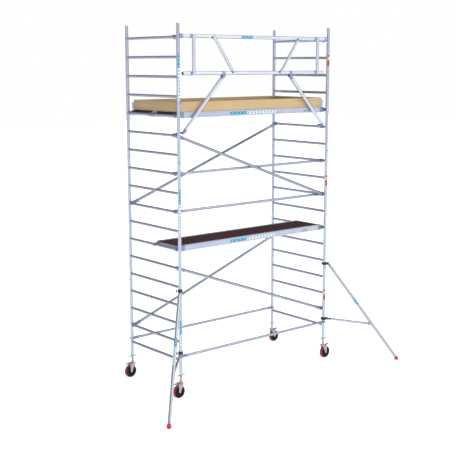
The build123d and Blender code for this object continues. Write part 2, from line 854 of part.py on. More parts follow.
def build_fork(x, y, out, name):
    """The fork with its swivel cup and the ears of the brake lever, and the axle bolt."""
    axle_x = x + out * trail
    pivot_x = x + out * lever_pivot_x
    with BuildPart() as bolt:
        with BuildSketch(Plane(origin=(axle_x, y + arm_outer + axle_head, axle_z), z_dir=(0, -1, 0))):
            Circle(axle_d / 2)
        extrude(amount=2 * (arm_outer + axle_head))
        for face in (-1, 1):
            with BuildSketch(Plane(origin=(axle_x, y + face * arm_outer, axle_z), z_dir=(0, face, 0))):
                RegularPolygon(axle_head_d / 2, 6)
            extrude(amount=axle_head)
    with BuildPart() as fork:
        with BuildSketch(Plane(origin=(x + out * trail / 2, y, fork_under))):
            Rectangle(2 * fork_half_width, 2 * ear_out)
        extrude(amount=fork_top_plate)
        for face in (-1, 1):
            arm_start = (axle_x, y + face * arm_inner, axle_z)
            with BuildSketch(Plane(origin=arm_start, x_dir=(1, 0, 0), z_dir=(0, -1, 0))):
                Circle(fork_tip_d / 2)
                with BuildLine():
                    Polyline(
                        (-fork_tip_d / 2, 0),
                        (fork_tip_d / 2, 0),
                        (fork_half_width - out * trail / 2, fork_under - axle_z),
                        (-fork_half_width - out * trail / 2, fork_under - axle_z),
                        close=True,
                    )
                make_face()
            extrude(amount=-face * fork_plate)
            ear_start = (pivot_x, y + face * ear_in, lever_z)
            with BuildSketch(Plane(origin=ear_start, x_dir=(1, 0, 0), z_dir=(0, face, 0))):
                Circle(ear_length / 2)
                Rectangle(ear_length, 2 * lever_pivot_rise)
            extrude(amount=ear_plate)
        with BuildSketch(Plane(origin=(x, y, fork_top))):
            Circle(swivel_cup_d / 2)
        extrude(amount=swivel_z + swivel_cup_height / 2 - fork_top)
        with BuildSketch(Plane(origin=(pivot_x, y - ear_in, lever_z), z_dir=(0, 1, 0))):
            Circle(lever_pin_d / 2)
        extrude(amount=2 * ear_in)
        with BuildSketch(Plane(origin=(x, y, swivel_z))):
            Circle(spindle_d / 2 + running_clearance)
        extrude(amount=swivel_cup_height, mode=Mode.SUBTRACT)
        with BuildSketch(Plane(origin=(x, y, fork_under))):
            Circle(kingpin_d / 2 + running_clearance)
        extrude(amount=swivel_z - fork_under, mode=Mode.SUBTRACT)
        with BuildSketch(Plane(origin=(axle_x, y - arm_outer, axle_z), z_dir=(0, 1, 0))):
            Circle(axle_d / 2)
        extrude(amount=2 * arm_outer, mode=Mode.SUBTRACT)
    save_group([fork, bolt], f"caster_fork_{name}")


def build_wheel(x, y, out, name):
    """The hub on its axle, and the tyre round it."""
    axle_x = x + out * trail
    rim_r = wheel_d / 2 - tyre_thickness
    middle = Plane(origin=(axle_x, y, axle_z), x_dir=(0, 1, 0), z_dir=(1, 0, 0))
    axle = Axis((axle_x, y, axle_z), (0, 1, 0))
    bore_r = axle_d / 2 + running_clearance
    with BuildPart() as hub:
        with BuildSketch(middle):
            with Locations((0, bore_r)):
                Rectangle(wheel_width, hub_boss_d / 2 - bore_r, align=(Align.CENTER, Align.MIN))
                Rectangle(hub_web, rim_r - bore_r, align=(Align.CENTER, Align.MIN))
            with Locations((0, rim_r)):
                Rectangle(wheel_width - hub_rim, hub_rim, align=(Align.CENTER, Align.MAX))
        revolve(axis=axle)
    save(hub, f"wheel_hub_{name}")
    with BuildPart() as tyre:
        with BuildSketch(middle):
            with Locations((0, rim_r)):
                Rectangle(wheel_width, tyre_thickness, align=(Align.CENTER, Align.MIN))
            fillet(vertices().group_by(Axis.Y)[-1], tyre_corner)
        revolve(axis=axle)
    save(tyre, f"tyre_{name}")


def build_lever(x, y, out, name):
    """The brake lever: two arms astride the swivel, prongs in front and a pedal behind."""
    back = lever_pivot_x + ear_length / 2
    with BuildPart() as lever:
        for face in (-1, 1):
            arm_start = (x, y + face * lever_in, lever_z)
            with BuildSketch(Plane(origin=arm_start, x_dir=(out, 0, 0), z_dir=(0, -out, 0))):
                with BuildLine():
                    Polyline(
                        (-prong_x, -lever_height / 2),
                        (back, -lever_height / 2),
                        (back, lever_height / 2),
                        (-prong_x + lever_height, lever_height / 2),
                        (-prong_x, prong_rise),
                        (-prong_x - lever_height, prong_rise),
                        close=True,
                    )
                make_face()
                with Locations((lever_pivot_x, 0)):
                    Circle(lever_pin_d / 2 + running_clearance, mode=Mode.SUBTRACT)
            extrude(amount=-out * face * lever_plate)
        low_x, high_x = sorted((x + out * (back - lever_plate), x + out * back))
        with BuildSketch(Plane(origin=(low_x, y, lever_z - lever_height / 2))):
            Rectangle(high_x - low_x, 2 * lever_out, align=(Align.MIN, Align.CENTER))
        extrude(amount=lever_height)
        low_x, high_x = sorted((x + out * (back - lever_plate), x + out * lever_reach))
        with BuildSketch(Plane(origin=(low_x, y, lever_z - lever_plate / 2))):
            Rectangle(high_x - low_x, lever_out, align=(Align.MIN, Align.CENTER))
        extrude(amount=lever_plate)
        low_x, high_x = sorted((x + out * (lever_reach - pedal_length), x + out * lever_reach))
        with BuildSketch(Plane(origin=(low_x, y, lever_z - lever_height / 2))):
            Rectangle(high_x - low_x, 2 * lever_in, align=(Align.MIN, Align.CENTER))
        extrude(amount=lever_height)
    save(lever, f"brake_lever_{name}")


def build_casters():
    for end_name, end in ENDS.items():
        for side_name, side in SIDES.items():
            x, y = side * half_bay, end * half_frame
            name = f"{end_name}_{side_name}"
            build_leg(x, y, name)
            build_nut(x, y, name)
            build_fork(x, y, side, name)
            build_wheel(x, y, side, name)
            build_lever(x, y, side, name)


os.makedirs("parts", exist_ok=True)
build_end_frames()
build_braces()
build_platforms()
build_toe_boards()
build_guardrail()
for outrigger_name, outrigger_side in SIDES.items():
    build_outrigger(outrigger_name, outrigger_side)
build_casters()
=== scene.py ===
from math import asin, cos, pi, radians, sin, sqrt
import bmesh
import bpy
from mathutils import Matrix, Vector


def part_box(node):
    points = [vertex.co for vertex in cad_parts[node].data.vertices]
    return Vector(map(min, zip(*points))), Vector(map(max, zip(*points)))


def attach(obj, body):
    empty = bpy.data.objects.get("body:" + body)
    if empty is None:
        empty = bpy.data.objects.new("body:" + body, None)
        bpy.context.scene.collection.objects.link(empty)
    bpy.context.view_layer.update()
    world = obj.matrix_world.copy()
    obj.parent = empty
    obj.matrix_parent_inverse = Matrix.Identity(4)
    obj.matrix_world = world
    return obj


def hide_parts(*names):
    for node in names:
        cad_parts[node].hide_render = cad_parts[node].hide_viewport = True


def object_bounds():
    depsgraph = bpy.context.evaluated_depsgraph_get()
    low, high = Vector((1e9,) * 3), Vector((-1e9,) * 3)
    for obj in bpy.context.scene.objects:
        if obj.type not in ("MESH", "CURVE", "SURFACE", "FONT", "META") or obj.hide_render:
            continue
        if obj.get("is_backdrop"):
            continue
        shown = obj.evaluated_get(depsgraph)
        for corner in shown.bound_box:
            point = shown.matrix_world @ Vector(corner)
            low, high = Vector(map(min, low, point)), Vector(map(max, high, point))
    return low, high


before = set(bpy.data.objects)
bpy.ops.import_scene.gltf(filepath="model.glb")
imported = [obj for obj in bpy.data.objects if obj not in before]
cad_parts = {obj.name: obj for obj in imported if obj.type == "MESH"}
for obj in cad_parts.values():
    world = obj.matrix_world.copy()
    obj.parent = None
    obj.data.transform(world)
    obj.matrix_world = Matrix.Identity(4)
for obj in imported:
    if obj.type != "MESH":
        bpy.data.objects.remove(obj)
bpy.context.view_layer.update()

# Sizes in metres that go with the CAD nodes
POST_R = 0.0254
POST_WALL = 0.0024
RUNG_R = 0.02
ABOVE_RUNG = 0.06
BRACE_R = 0.022
CLAW_BORE = 0.0203
CLAW_OUTER = 0.032
CLAW_WIDTH = 0.044
CLAW_REACH = 0.058
CLAW_GAP = 0.0366
CLAW_MOUTH = -120
SLEEVE_START = 0.056
TUBE_WALL = 0.0022
X, Y, UP = Vector((1, 0, 0)), Vector((0, 1, 0)), Vector((0, 0, 1))
CORNERS = [(end, side) for end in ("front", "back") for side in ("left", "right")]


def centre(node):
    low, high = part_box(node)
    return (low + high) / 2


base_low, base_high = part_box("base_frame_left")
middle_low, middle_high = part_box("middle_frame_left")
top_low, top_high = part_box("top_frame_left")
HALF_BAY = -centre("base_frame_left").x
HALF_FRAME = base_high.y - POST_R
PITCH = (middle_high.z - middle_low.z) / 7
SIDE = {"left": -1, "right": 1}
END = {"front": -1, "back": 1}


def rung_z(number):
    """The height of a rung's axis, counted from 0 at the bottom."""
    return base_high.z - ABOVE_RUNG + (number - 3) * PITCH


# Materials: each one is made of nodes, with its colour, wear, roughness and bump from noise
EVEN, LONG = (1, 1, 1), (1, 1, 0.02)
BLANK, WHITE = (0, 0, 0), (1, 1, 1)


def feed(tree, node, inputs):
    """Sets a node's inputs: each one is a value, or the output that feeds it."""
    for name, value in inputs.items():
        if isinstance(value, bpy.types.NodeSocket):
            tree.links.new(value, node.inputs[name])
        else:
            node.inputs[name].default_value = value


def add_node(tree, kind, output, inputs=None, **settings):
    """Adds a shader node and returns one of its outputs."""
    made = tree.nodes.new("ShaderNode" + kind)
    for name, value in settings.items():
        setattr(made, name, value)
    feed(tree, made, inputs or {})
    return made.outputs[output]


def ramp(tree, amount, *stops, ease="LINEAR"):
    """A colour ramp over amount: each stop is (position, colour)."""
    made = tree.nodes.new("ShaderNodeValToRGB")
    made.color_ramp.interpolation = ease
    first, last = made.color_ramp.elements
    first.position, last.position = stops[0][0], stops[-1][0]
    first.color, last.color = (*stops[0][1], 1), (*stops[-1][1], 1)
    for place, colour in stops[1:-1]:
        made.color_ramp.elements.new(place).color = (*colour, 1)
    tree.links.new(amount, made.inputs["Fac"])
    return made.outputs["Color"]


def mix(tree, factor, a, b, blend="MIX"):
    return add_node(tree, "Mix", "Result", {"Factor": factor, "A": a, "B": b}, data_type="RGBA",
                    blend_type=blend)


def scaled(colour, factor):
    return tuple(min(1.0, channel * factor) for channel in colour)


def finish(name, colour, metallic, rough, stretch, scale, spread, bump, coords="grain", wear=0.25,
           specular=0.5):
    """A surface with streaks or mottle, scuffs, and edges worn lighter."""
    made = bpy.data.materials.new(name)
    made.use_nodes = True
    tree = made.node_tree
    if coords == "grain":
        place = add_node(tree, "Attribute", "Vector", attribute_name="grain")
    else:
        place = add_node(tree, "TexCoord", "Object")
    mapped = add_node(tree, "Mapping", "Vector", {"Vector": place, "Scale": stretch})
    fine = add_node(tree, "TexNoise", "Fac", {"Vector": mapped, "Scale": scale, "Detail": 5.0})
    broad = add_node(tree, "TexNoise", "Fac", {"Vector": place, "Scale": 4.0, "Detail": 3.0})
    tint = ramp(tree, fine, (0.3, scaled(colour, 1 - spread)), (0.7, scaled(colour, 1 + spread)))
    shade = ramp(tree, broad, (0.3, (0.88, 0.88, 0.89)), (0.75, WHITE))
    pointed = add_node(tree, "NewGeometry", "Pointiness")
    worn = ramp(tree, pointed, (0.52, BLANK), (0.62, (wear, wear, wear)))
    bare = mix(tree, worn, mix(tree, 1.0, tint, shade, "MULTIPLY"), (*scaled(colour, 1.5), 1))
    gloss = add_node(tree, "MapRange", "Result", {"Value": fine, "To Min": rough * 0.8,
                                                  "To Max": min(1.0, rough * 1.2)})
    relief = add_node(tree, "Bump", "Normal", {"Height": fine, "Distance": bump, "Strength": 0.6})
    feed(tree, tree.nodes["Principled BSDF"], {
        "Metallic": metallic, "Specular IOR Level": specular, "Base Color": bare,
        "Roughness": gloss, "Normal": relief})
    return made


def aluminium(name, colour, metallic, rough, spread=0.06, stretch=LONG, scale=400, coords="grain"):
    return finish("aluminium_" + name, colour, metallic, rough, stretch, scale, spread, 0.00006, coords)


def label(name, colour, spread=0.06, rough=0.42, scale=200):
    return finish("label_" + name, colour, 0.0, rough, EVEN, scale, spread, 0.00003, wear=0.0)


TUBE = aluminium("tube", (0.46, 0.5, 0.61), 0.78, 0.26)
TUBE_CAD = aluminium("tube_cad", (0.46, 0.5, 0.61), 0.78, 0.26, 0.06, (1, 1, 0.05), 300, "object")
# A lighter copy of the tube aluminium for the guardrail's tubes: painted light.
GUARD_LIT = aluminium("guardrail", (0.6, 0.64, 0.76), 0.7, 0.3, 0.05)
# A darker copy of the tube aluminium for the braces and rails: painted shade.
BRACE_SHADED = aluminium("brace", (0.33, 0.36, 0.44), 0.85, 0.2)
LEG = aluminium("outrigger", (0.45, 0.47, 0.52), 0.72, 0.25, 0.05)
# A darker copy of the tube aluminium for the rungs: painted shade.
RUNG_SHADED = aluminium("rung", (0.34, 0.37, 0.46), 0.8, 0.26, 0.08)
WELD = finish("weld_bead", (0.4, 0.43, 0.5), 0.8, 0.42, EVEN, 300, 0.1, 0.0002)
CAST = finish("aluminium_cast", (0.24, 0.29, 0.47), 0.45, 0.45, EVEN, 220, 0.12, 0.0003)
BEAM = finish("aluminium_beam", (0.44, 0.49, 0.6), 0.6, 0.38, (1, 1, 0.01), 260, 0.05, 0.00008)
GALVANISED = ((0.42, 0.42, 0.41), 0.8, 0.42, EVEN, 90, 0.16, 0.00015)
STEEL = finish("galvanised_steel", *GALVANISED)
STEEL_CAD = finish("galvanised_steel_cad", *GALVANISED, "object")
SPRING = finish("spring_steel", (0.34, 0.34, 0.36), 0.95, 0.25, (1, 1, 0.1), 200, 0.08, 0.00005)
BLACK = finish("clamp_black", (0.022, 0.022, 0.024), 0.2, 0.45, EVEN, 240, 0.25, 0.0003, wear=0.05)
# Dark pins; also the dark wedges of painted shade at the guardrail's joints.
DARK = finish("dark_pin_and_painted_shade", (0.1, 0.11, 0.16), 0.4, 0.45, EVEN, 240, 0.2, 0.0002, wear=0.1)
CLIP = finish("clip_plastic", (0.42, 0.52, 0.8), 0.0, 0.42, EVEN, 160, 0.06, 0.0001)
RUBBER = finish("foot_rubber", (0.66, 0.03, 0.035), 0.0, 0.62, EVEN, 260, 0.1, 0.0004, wear=0.15)
BRAKE = finish("brake_red", (0.62, 0.3, 0.28), 0.15, 0.42, EVEN, 130, 0.12, 0.00015)
HUB = finish("hub_black", (0.012, 0.013, 0.012), 0.0, 0.46, EVEN, 150, 0.2, 0.0002, wear=0.04,
             specular=0.22)
TYRE = finish("tyre_red", (0.33, 0.022, 0.035), 0.0, 0.45, EVEN, 180, 0.12, 0.0003, wear=0.12)
AXLE = finish("axle_bolt", (0.72, 0.6, 0.6), 0.7, 0.35, EVEN, 120, 0.1, 0.0001)
PEDAL = finish("brake_pedal", (0.3, 0.36, 0.33), 0.3, 0.45, EVEN, 150, 0.14, 0.0002)
CYAN = label("cyan", (0.015, 0.34, 0.53), rough=0.4)
PALE = label("pale", (0.8, 0.86, 0.86), 0.03)
TICK = label("tick", (0.14, 0.42, 0.45), 0.08)
RED = label("red", (0.42, 0.04, 0.05), 0.1)
YELLOW = label("yellow", (0.85, 0.55, 0.05))
BEIGE = label("beige", (0.62, 0.58, 0.52), 0.15, 0.45, 300)


def wood():
    """Toe boards: long grain on the faces, and the layers' darker edges on top and below."""
    made = finish("toe_board", (0.61, 0.445, 0.235), 0.0, 0.5, (1, 1, 0.03), 160, 0.06, 0.0002, wear=0.1)
    tree = made.node_tree
    shader = tree.nodes["Principled BSDF"]
    plain = shader.inputs["Base Color"].links[0].from_socket
    place = add_node(tree, "Attribute", "Vector", attribute_name="grain")
    mapped = add_node(tree, "Mapping", "Vector", {"Vector": place, "Scale": (1, 1, 0.06)})
    rings = add_node(tree, "TexWave", "Fac", {"Vector": mapped, "Scale": 14.0, "Distortion": 7.0,
                                              "Detail": 3.0}, bands_direction="Y")
    lines = ramp(tree, rings, (0.2, BLANK), (0.95, (0.55, 0.55, 0.55)))
    grained = mix(tree, lines, plain, (0.43, 0.3, 0.15, 1))
    facing = add_node(tree, "SeparateXYZ", "Z", {"Vector": add_node(tree, "TexCoord", "Normal")})
    level = add_node(tree, "Math", 0, {0: facing}, operation="ABSOLUTE")
    on_edge = ramp(tree, level, (0.5, BLANK), (0.7, WHITE))
    feed(tree, shader, {"Base Color": mix(tree, on_edge, grained, (0.4, 0.27, 0.13, 1))})
    return made


def deck_finish():
    """Dark phenolic board with a fine anti-slip mesh pressed into it."""
    made = finish("deck_board", (0.078, 0.032, 0.028), 0.0, 0.7, (1, 1, 0.05), 60, 0.18, 0.0002, wear=0.05,
                  specular=0.08)
    tree = made.node_tree
    shader = tree.nodes["Principled BSDF"]
    smooth = shader.inputs["Normal"].links[0].from_socket
    place = add_node(tree, "Attribute", "Vector", attribute_name="grain")
    mesh = add_node(tree, "TexVoronoi", "Distance", {"Vector": place, "Scale": 170.0, "Randomness": 0.15})
    feed(tree, shader, {"Normal": add_node(tree, "Bump", "Normal", {
        "Height": mesh, "Normal": smooth, "Distance": 0.0006, "Strength": 0.7})})
    return made


BOARD = wood()
DECK = deck_finish()


# Mesh helpers. A shape is (points, faces) in its own frame, with Z along its length
def around(radius, count, z=0.0):
    """Evenly spaced points round Z."""
    return [Vector((radius * cos(turn), radius * sin(turn), z))
            for turn in (2 * pi * step / count for step in range(count))]


def lathe(profile, count=40, closed=True):
    """Turned about Z: profile points are (radius, z); closed joins the last to the first."""
    points, rings, faces = [], [], []
    for radius, z in profile:
        if radius == 0:
            rings.append([len(points)])
            points.append(Vector((0, 0, z)))
            continue
        rings.append(list(range(len(points), len(points) + count)))
        points += around(radius, count, z)
    pairs = list(zip(rings, rings[1:]))
    if closed:
        pairs.append((rings[-1], rings[0]))
    for low, high in pairs:
        for step in range(count):
            after = (step + 1) % count
            corner = [low[step % len(low)], low[after % len(low)],
                      high[after % len(high)], high[step % len(high)]]
            face = list(dict.fromkeys(corner))
            if len(face) > 2:
                faces.append(face)
    return points, faces


def loft(rings, capped=True):
    """Joins rings of equal count; the ends are closed by fans."""
    points, faces = [p for ring in rings for p in ring], []
    count = len(rings[0])
    for level in range(len(rings) - 1):
        for step in range(count):
            after = (step + 1) % count
            low, high = level * count, (level + 1) * count
            faces.append([low + step, low + after, high + after, high + step])
    if capped:
        for level, turn in ((0, -1), (len(rings) - 1, 1)):
            middle = len(points)
            points.append(sum(rings[level], Vector()) / count)
            for step in range(count):
                after = (step + 1) % count
                fan = [level * count + step, level * count + after, middle]
                faces.append(fan[::turn])
    return points, faces


def mm(*pairs):
    """A profile or outline given in millimetres."""
    return [(a / 1000, b / 1000) for a, b in pairs]


def mirrored(half):
    """A profile or outline followed by its reflection in the first axis."""
    return half + [(a, -b) for a, b in half[::-1]]


def shift(x, y, z):
    return Matrix.Translation((x, y, z))


def round_bar(radius, length, chamfer=0.001, count=32, start=0.0):
    return lathe([(0, start), (radius - chamfer, start), (radius, start + chamfer),
                  (radius, start + length - chamfer), (radius - chamfer, start + length),
                  (0, start + length)], count, closed=False)


def hollow(radius, wall, length, chamfer=0.0006, count=40):
    inner = radius - wall
    return lathe([(inner, 0), (radius - chamfer, 0), (radius, chamfer), (radius, length - chamfer),
                  (radius - chamfer, length), (inner, length)], count)


def collar(inner, outer, low, high, count=44):
    """A sleeve with chamfered ends."""
    return lathe([(inner, low), (outer, low + 0.002), (outer, high - 0.002), (inner, high)], count)


def extrude(outline, low, high, bevel=0.0):
    """An outline in XY pushed from z low to high, with its sharp edges rounded."""
    count = len(outline)
    work = bmesh.new()
    bottom = [work.verts.new((x, y, low)) for x, y in outline]
    top = [work.verts.new((x, y, high)) for x, y in outline]
    work.faces.new(bottom[::-1])
    work.faces.new(top)
    for step in range(count):
        after = (step + 1) % count
        work.faces.new((bottom[step], bottom[after], top[after], top[step]))
    bmesh.ops.recalc_face_normals(work, faces=work.faces[:])
    if bevel:
        sharp = [e for e in work.edges if len(e.link_faces) == 2 and e.calc_face_angle(0) > 0.6]
        bmesh.ops.bevel(work, geom=sharp, offset=bevel, segments=2, profile=0.6, affect="EDGES",
                        clamp_overlap=True)
    work.verts.ensure_lookup_table()
    points = [v.co.copy() for v in work.verts]
    faces = [[v.index for v in face.verts] for face in work.faces]
    work.free()
    return points, faces


def rectangle(width, height, radius, x=0.0, y=0.0, steps=3):
    """An outline centred on x, y, with rounded corners."""
    outline = []
    for quarter, (a, b) in enumerate(((1, 1), (-1, 1), (-1, -1), (1, -1))):
        for step in range(steps + 1):
            turn = pi / 2 * (quarter + step / steps)
            outline.append((x + a * (width / 2 - radius) + radius * cos(turn),
                            y + b * (height / 2 - radius) + radius * sin(turn)))
    return outline


def hook(bore, outer, reach, neck_root, neck_end, mouth, gap, steps=22):
    """A C-shaped outline open towards the angle mouth, with a neck along +X."""
    turn = radians(mouth) % (2 * pi)
    at_bore, at_rim = asin(gap / 2 / bore), asin(gap / 2 / outer)
    root = asin(neck_root / 2 / outer)
    outline = [(reach, -neck_end / 2), (reach, neck_end / 2)]
    arcs = ((outer, root, turn - at_rim), (bore, turn - at_bore, turn + at_bore - 2 * pi),
            (outer, turn + at_rim - 2 * pi, -root))
    for radius, start, stop in arcs:
        for step in range(steps + 1):
            angle = start + (stop - start) * step / steps
            outline.append((radius * cos(angle), radius * sin(angle)))
    return outline


def placed(origin, along, across=None):
    """The frame at origin whose Z points along, and whose X is nearest to across."""
    z = Vector(along).normalized()
    hint = Vector(across) if across is not None else (UP if abs(z.z) < 0.9 else X)
    x = (hint - z * hint.dot(z)).normalized()
    y = z.cross(x)
    made = Matrix((x, y, z)).transposed().to_4x4()
    made.translation = Vector(origin)
    return made


def pipe(path, radius, count=10):
    """A round wire along a row of points."""
    rings = []
    side = None
    for index, point in enumerate(path):
        ahead = (path[min(index + 1, len(path) - 1)] - path[max(index - 1, 0)]).normalized()
        if side is None:
            side = ahead.orthogonal().normalized()
        side = (side - ahead * side.dot(ahead)).normalized()
        other = ahead.cross(side)
        rings.append([point + (side * cos(2 * pi * s / count)
                               + other * sin(2 * pi * s / count)) * radius
                      for s in range(count)])
    return loft(rings)


class Piece:
    """Shapes gathered into one object; each point also keeps its own frame's place as grain."""

    def __init__(self, name):
        self.name = name
        self.points, self.faces, self.grain, self.paints, self.materials = [], [], [], [], []

    def add(self, shape, material, at=None, along=None, across=None):
        """Adds a shape in the frame at, or placed at a point with its Z along."""
        points, faces = shape
        if along is not None:
            at = placed(at, along, across)
        at = at or Matrix.Identity(4)
        if material not in self.materials:
            self.materials.append(material)
        first = len(self.points)
        self.points += [at @ p for p in points]
        self.grain += points
        self.faces += [[first + index for index in face] for face in faces]
        self.paints += [self.materials.index(material)] * len(faces)

    def made(self, body, slot, *replaced, sharp=0.62):
        mesh = bpy.data.meshes.new(self.name)
        mesh.from_pydata(self.points, [], self.faces)
        grain = mesh.attributes.new("grain", "FLOAT_VECTOR", "POINT")
        grain.data.foreach_set("vector", [c for p in self.grain for c in p])
        for material in self.materials:
            mesh.materials.append(material)
        mesh.polygons.foreach_set("material_index", self.paints)
        mesh.polygons.foreach_set("use_smooth", [True] * len(mesh.polygons))
        work = bmesh.new()
        work.from_mesh(mesh)
        bmesh.ops.recalc_face_normals(work, faces=work.faces[:])
        for edge in work.edges:
            edge.smooth = len(edge.link_faces) == 2 and edge.calc_face_angle(0) < sharp
        work.to_mesh(mesh)
        work.free()
        obj = bpy.data.objects.new(self.name, mesh)
        bpy.context.scene.collection.objects.link(obj)
        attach(obj, body)
        if replaced:
            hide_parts(*replaced)


def dome(radius, height):
    """A rivet's head."""
    return lathe([(0, height), (radius * 0.6, height * 0.85), (radius * 0.9, height * 0.45), (radius, 0),
                  (0, -height * 0.5)], 14, closed=False)


def hexagon(radius, height):
    return extrude([(p.x, p.y) for p in around(radius, 6)], 0, height, radius * 0.08)


# Ladder frames
def rung_end(dx):
    """How far from the middle a rung's side meets the post."""
    surface = POST_R - 0.0008
    return HALF_FRAME - sqrt(surface * surface - dx * dx)


def ribbed_rung():
    ribs = 22
    ring = []
    for rib in range(ribs):
        for share, radius in ((0.0, 1.0), (0.42, 1.0), (0.55, 0.965), (0.87, 0.965)):
            turn = 2 * pi * (rib + share) / ribs
            ring.append((RUNG_R * radius * cos(turn), RUNG_R * radius * sin(turn)))
    rings = [[Vector((x, y, end * rung_end(x))) for x, y in ring] for end in (-1, 1)]
    return loft(rings)


def weld_bead():
    """The bead where a rung meets the post at +Y, in the rung's frame."""
    rings = []
    count, cross = 60, 7
    for step in range(count):
        turn = 2 * pi * step / count
        size = 0.0032 + 0.0005 * sin(13 * turn)
        out = Vector((cos(turn), sin(turn), 0))
        middle = out * RUNG_R + UP * (rung_end(RUNG_R * cos(turn)) - 0.001)
        rings.append([middle + (out * cos(a) + UP * sin(a)) * size
                      for a in (2 * pi * s / cross for s in range(cross))])
    return loft(rings + [rings[0]], capped=False)


RUNG_SHAPE = ribbed_rung()
BEAD_SHAPE = weld_bead()
RIVET = dome(0.0055, 0.0022)
levels = (("base", 0, 4, base_low.z, base_high.z), ("middle", 4, 7, middle_low.z, middle_high.z),
          ("top", 11, 7, top_low.z, top_high.z))
for side_name, side in SIDE.items():
    for level, first, count, low, high in levels:
        piece = Piece(f"ladder_frame_{level}_{side_name}")
        for end in END.values():
            spot = Vector((side * HALF_BAY, end * HALF_FRAME, low))
            piece.add(hollow(POST_R, POST_WALL, high - low, 0.0012, 56), TUBE, Matrix.Translation(spot))
            for turn in (-1, 1):
                for drop in (0.03, 0.07):
                    face = Vector((0, turn, 0))
                    where = Vector((spot.x, spot.y, high - drop)) + face * (POST_R - 0.0004)
                    piece.add(RIVET, SPRING, where, face)
        for number in range(first, first + count):
            at = placed((side * HALF_BAY, 0, rung_z(number)), Y, X)
            piece.add(RUNG_SHAPE, RUNG_SHADED, at)
            piece.add(BEAD_SHAPE, WELD, at)
            piece.add(BEAD_SHAPE, WELD, (side * HALF_BAY, 0, rung_z(number)), -Y, X)
        piece.made("tower", "aluminium_tube", f"{level}_frame_{side_name}")

# Spring clips: a pin through each joint, its head, and a wire round the post
PIN_ABOVE_JOINT = 0.11
clips = Piece("spring_clips_wire")
for joint in (base_high.z, middle_high.z):
    for end in END.values():
        for side in SIDE.values():
            z = joint + PIN_ABOVE_JOINT
            spot = Vector((side * HALF_BAY, end * HALF_FRAME, z))
            at = placed(spot - Vector((0, end * (POST_R + 0.008), 0)), (0, end, 0))
            clips.add(round_bar(0.0045, 2 * POST_R + 0.016, 0.001, 20), SPRING, at)
            clips.add(round_bar(0.0085, 0.004, 0.001, 24, 2 * POST_R + 0.012), SPRING, at)
            reach = POST_R + 0.0045
            path = [spot + Vector((side * reach * sin(t), end * reach * cos(t), 0.012 * sin(t)))
                    for t in (radians(a) for a in range(0, 196, 8))]
            clips.add(pipe(path, 0.0022), SPRING)
clips.made("tower", "spring_steel", "spring_clips")


# Braces and rails
def add_sleeve(piece, at, tube_r, *end):
    """The socket that a tube goes into; end is the rest of its profile."""
    rim = tube_r + 0.0035
    profile = [(0, 0), (rim - 0.004, 0), (rim, 0.005), (rim, 0.06)]
    piece.add(lathe(profile + [(rim + more, z) for more, z in end] + [(0, end[-1][1])], 36, closed=False),
              CAST, at)


def add_claw(piece, point, along, tube_r):
    """A cast claw at point, with its neck and sleeve along, and a trigger on top."""
    across = along.cross(UP).normalized()
    at = placed(point, across, along)
    turn = 1 if (at.to_3x3() @ Y).dot(UP) > 0 else -1
    mouth = CLAW_MOUTH * turn
    jaw = hook(CLAW_BORE, CLAW_OUTER, 0.07, 0.036, 0.04, mouth, CLAW_GAP)
    piece.add(extrude(jaw, -CLAW_WIDTH / 2, CLAW_WIDTH / 2, 0.0022), CAST, at)
    lip = hook(CLAW_BORE + 0.003, CLAW_OUTER + 0.0015, 0.03, 0.03, 0.026, mouth, CLAW_GAP * 1.04)
    piece.add(extrude(lip, -CLAW_WIDTH * 0.22, CLAW_WIDTH * 0.22, 0.001), CAST, at)
    add_sleeve(piece, placed(point + along * SLEEVE_START, along), tube_r,
               (0.0015, 0.064), (0.0015, 0.072), (-0.003, 0.0745))
    trigger = mm((-22, 20), (30, 19), (34, 26), (-10, 36), (-24, 32))
    if turn < 0:
        trigger = [(x, -y) for x, y in trigger[::-1]]
    piece.add(extrude(trigger, -0.009, 0.009, 0.0015), STEEL, point + along * 0.04, across, along)
    for face in (-1, 1):
        spot = point + along * 0.092 + across * face * (tube_r + 0.0032)
        piece.add(RIVET, SPRING, spot, across * face)


def add_brace(tubes, claws, left, right, tube_r):
    run = (right - left).normalized()
    start, stop = left + run * CLAW_REACH, right - run * CLAW_REACH
    tubes.add(hollow(tube_r, TUBE_WALL, (stop - start).length, 0.0006, 44), BRACE_SHADED, start, run)
    add_claw(claws, left, run, tube_r)
    add_claw(claws, right, -run, tube_r)


claws = Piece("brace_claw_castings")
brace_y = -centre("diagonal_brace_front_upper").y
for node, left_rung, right_rung, end in (
        ("diagonal_brace_front_upper", 12, 8, -1), ("diagonal_brace_back_upper", 8, 12, 1),
        ("diagonal_brace_front_lower", 5, 1, -1), ("diagonal_brace_back_lower", 1, 5, 1)):
    piece = Piece(node.replace("diagonal_brace", "brace_tube"))
    add_brace(piece, claws, Vector((-HALF_BAY, end * brace_y, rung_z(left_rung))),
              Vector((HALF_BAY, end * brace_y, rung_z(right_rung))), BRACE_R)
    piece.made("tower", "aluminium_tube", node)
rails = Piece("guard_rail_tubes")
rail_low, rail_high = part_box("guard_rails")
for z in (rail_low.z + RUNG_R, rail_high.z - RUNG_R):
    rail_y = centre("guard_rails").y
    add_brace(rails, claws, Vector((-HALF_BAY, rail_y, z)), Vector((HALF_BAY, rail_y, z)), RUNG_R)
rails.made("tower", "aluminium_tube", "guard_rails")
base_rails = Piece("base_rail_tubes")
base_z = centre("base_rails").z
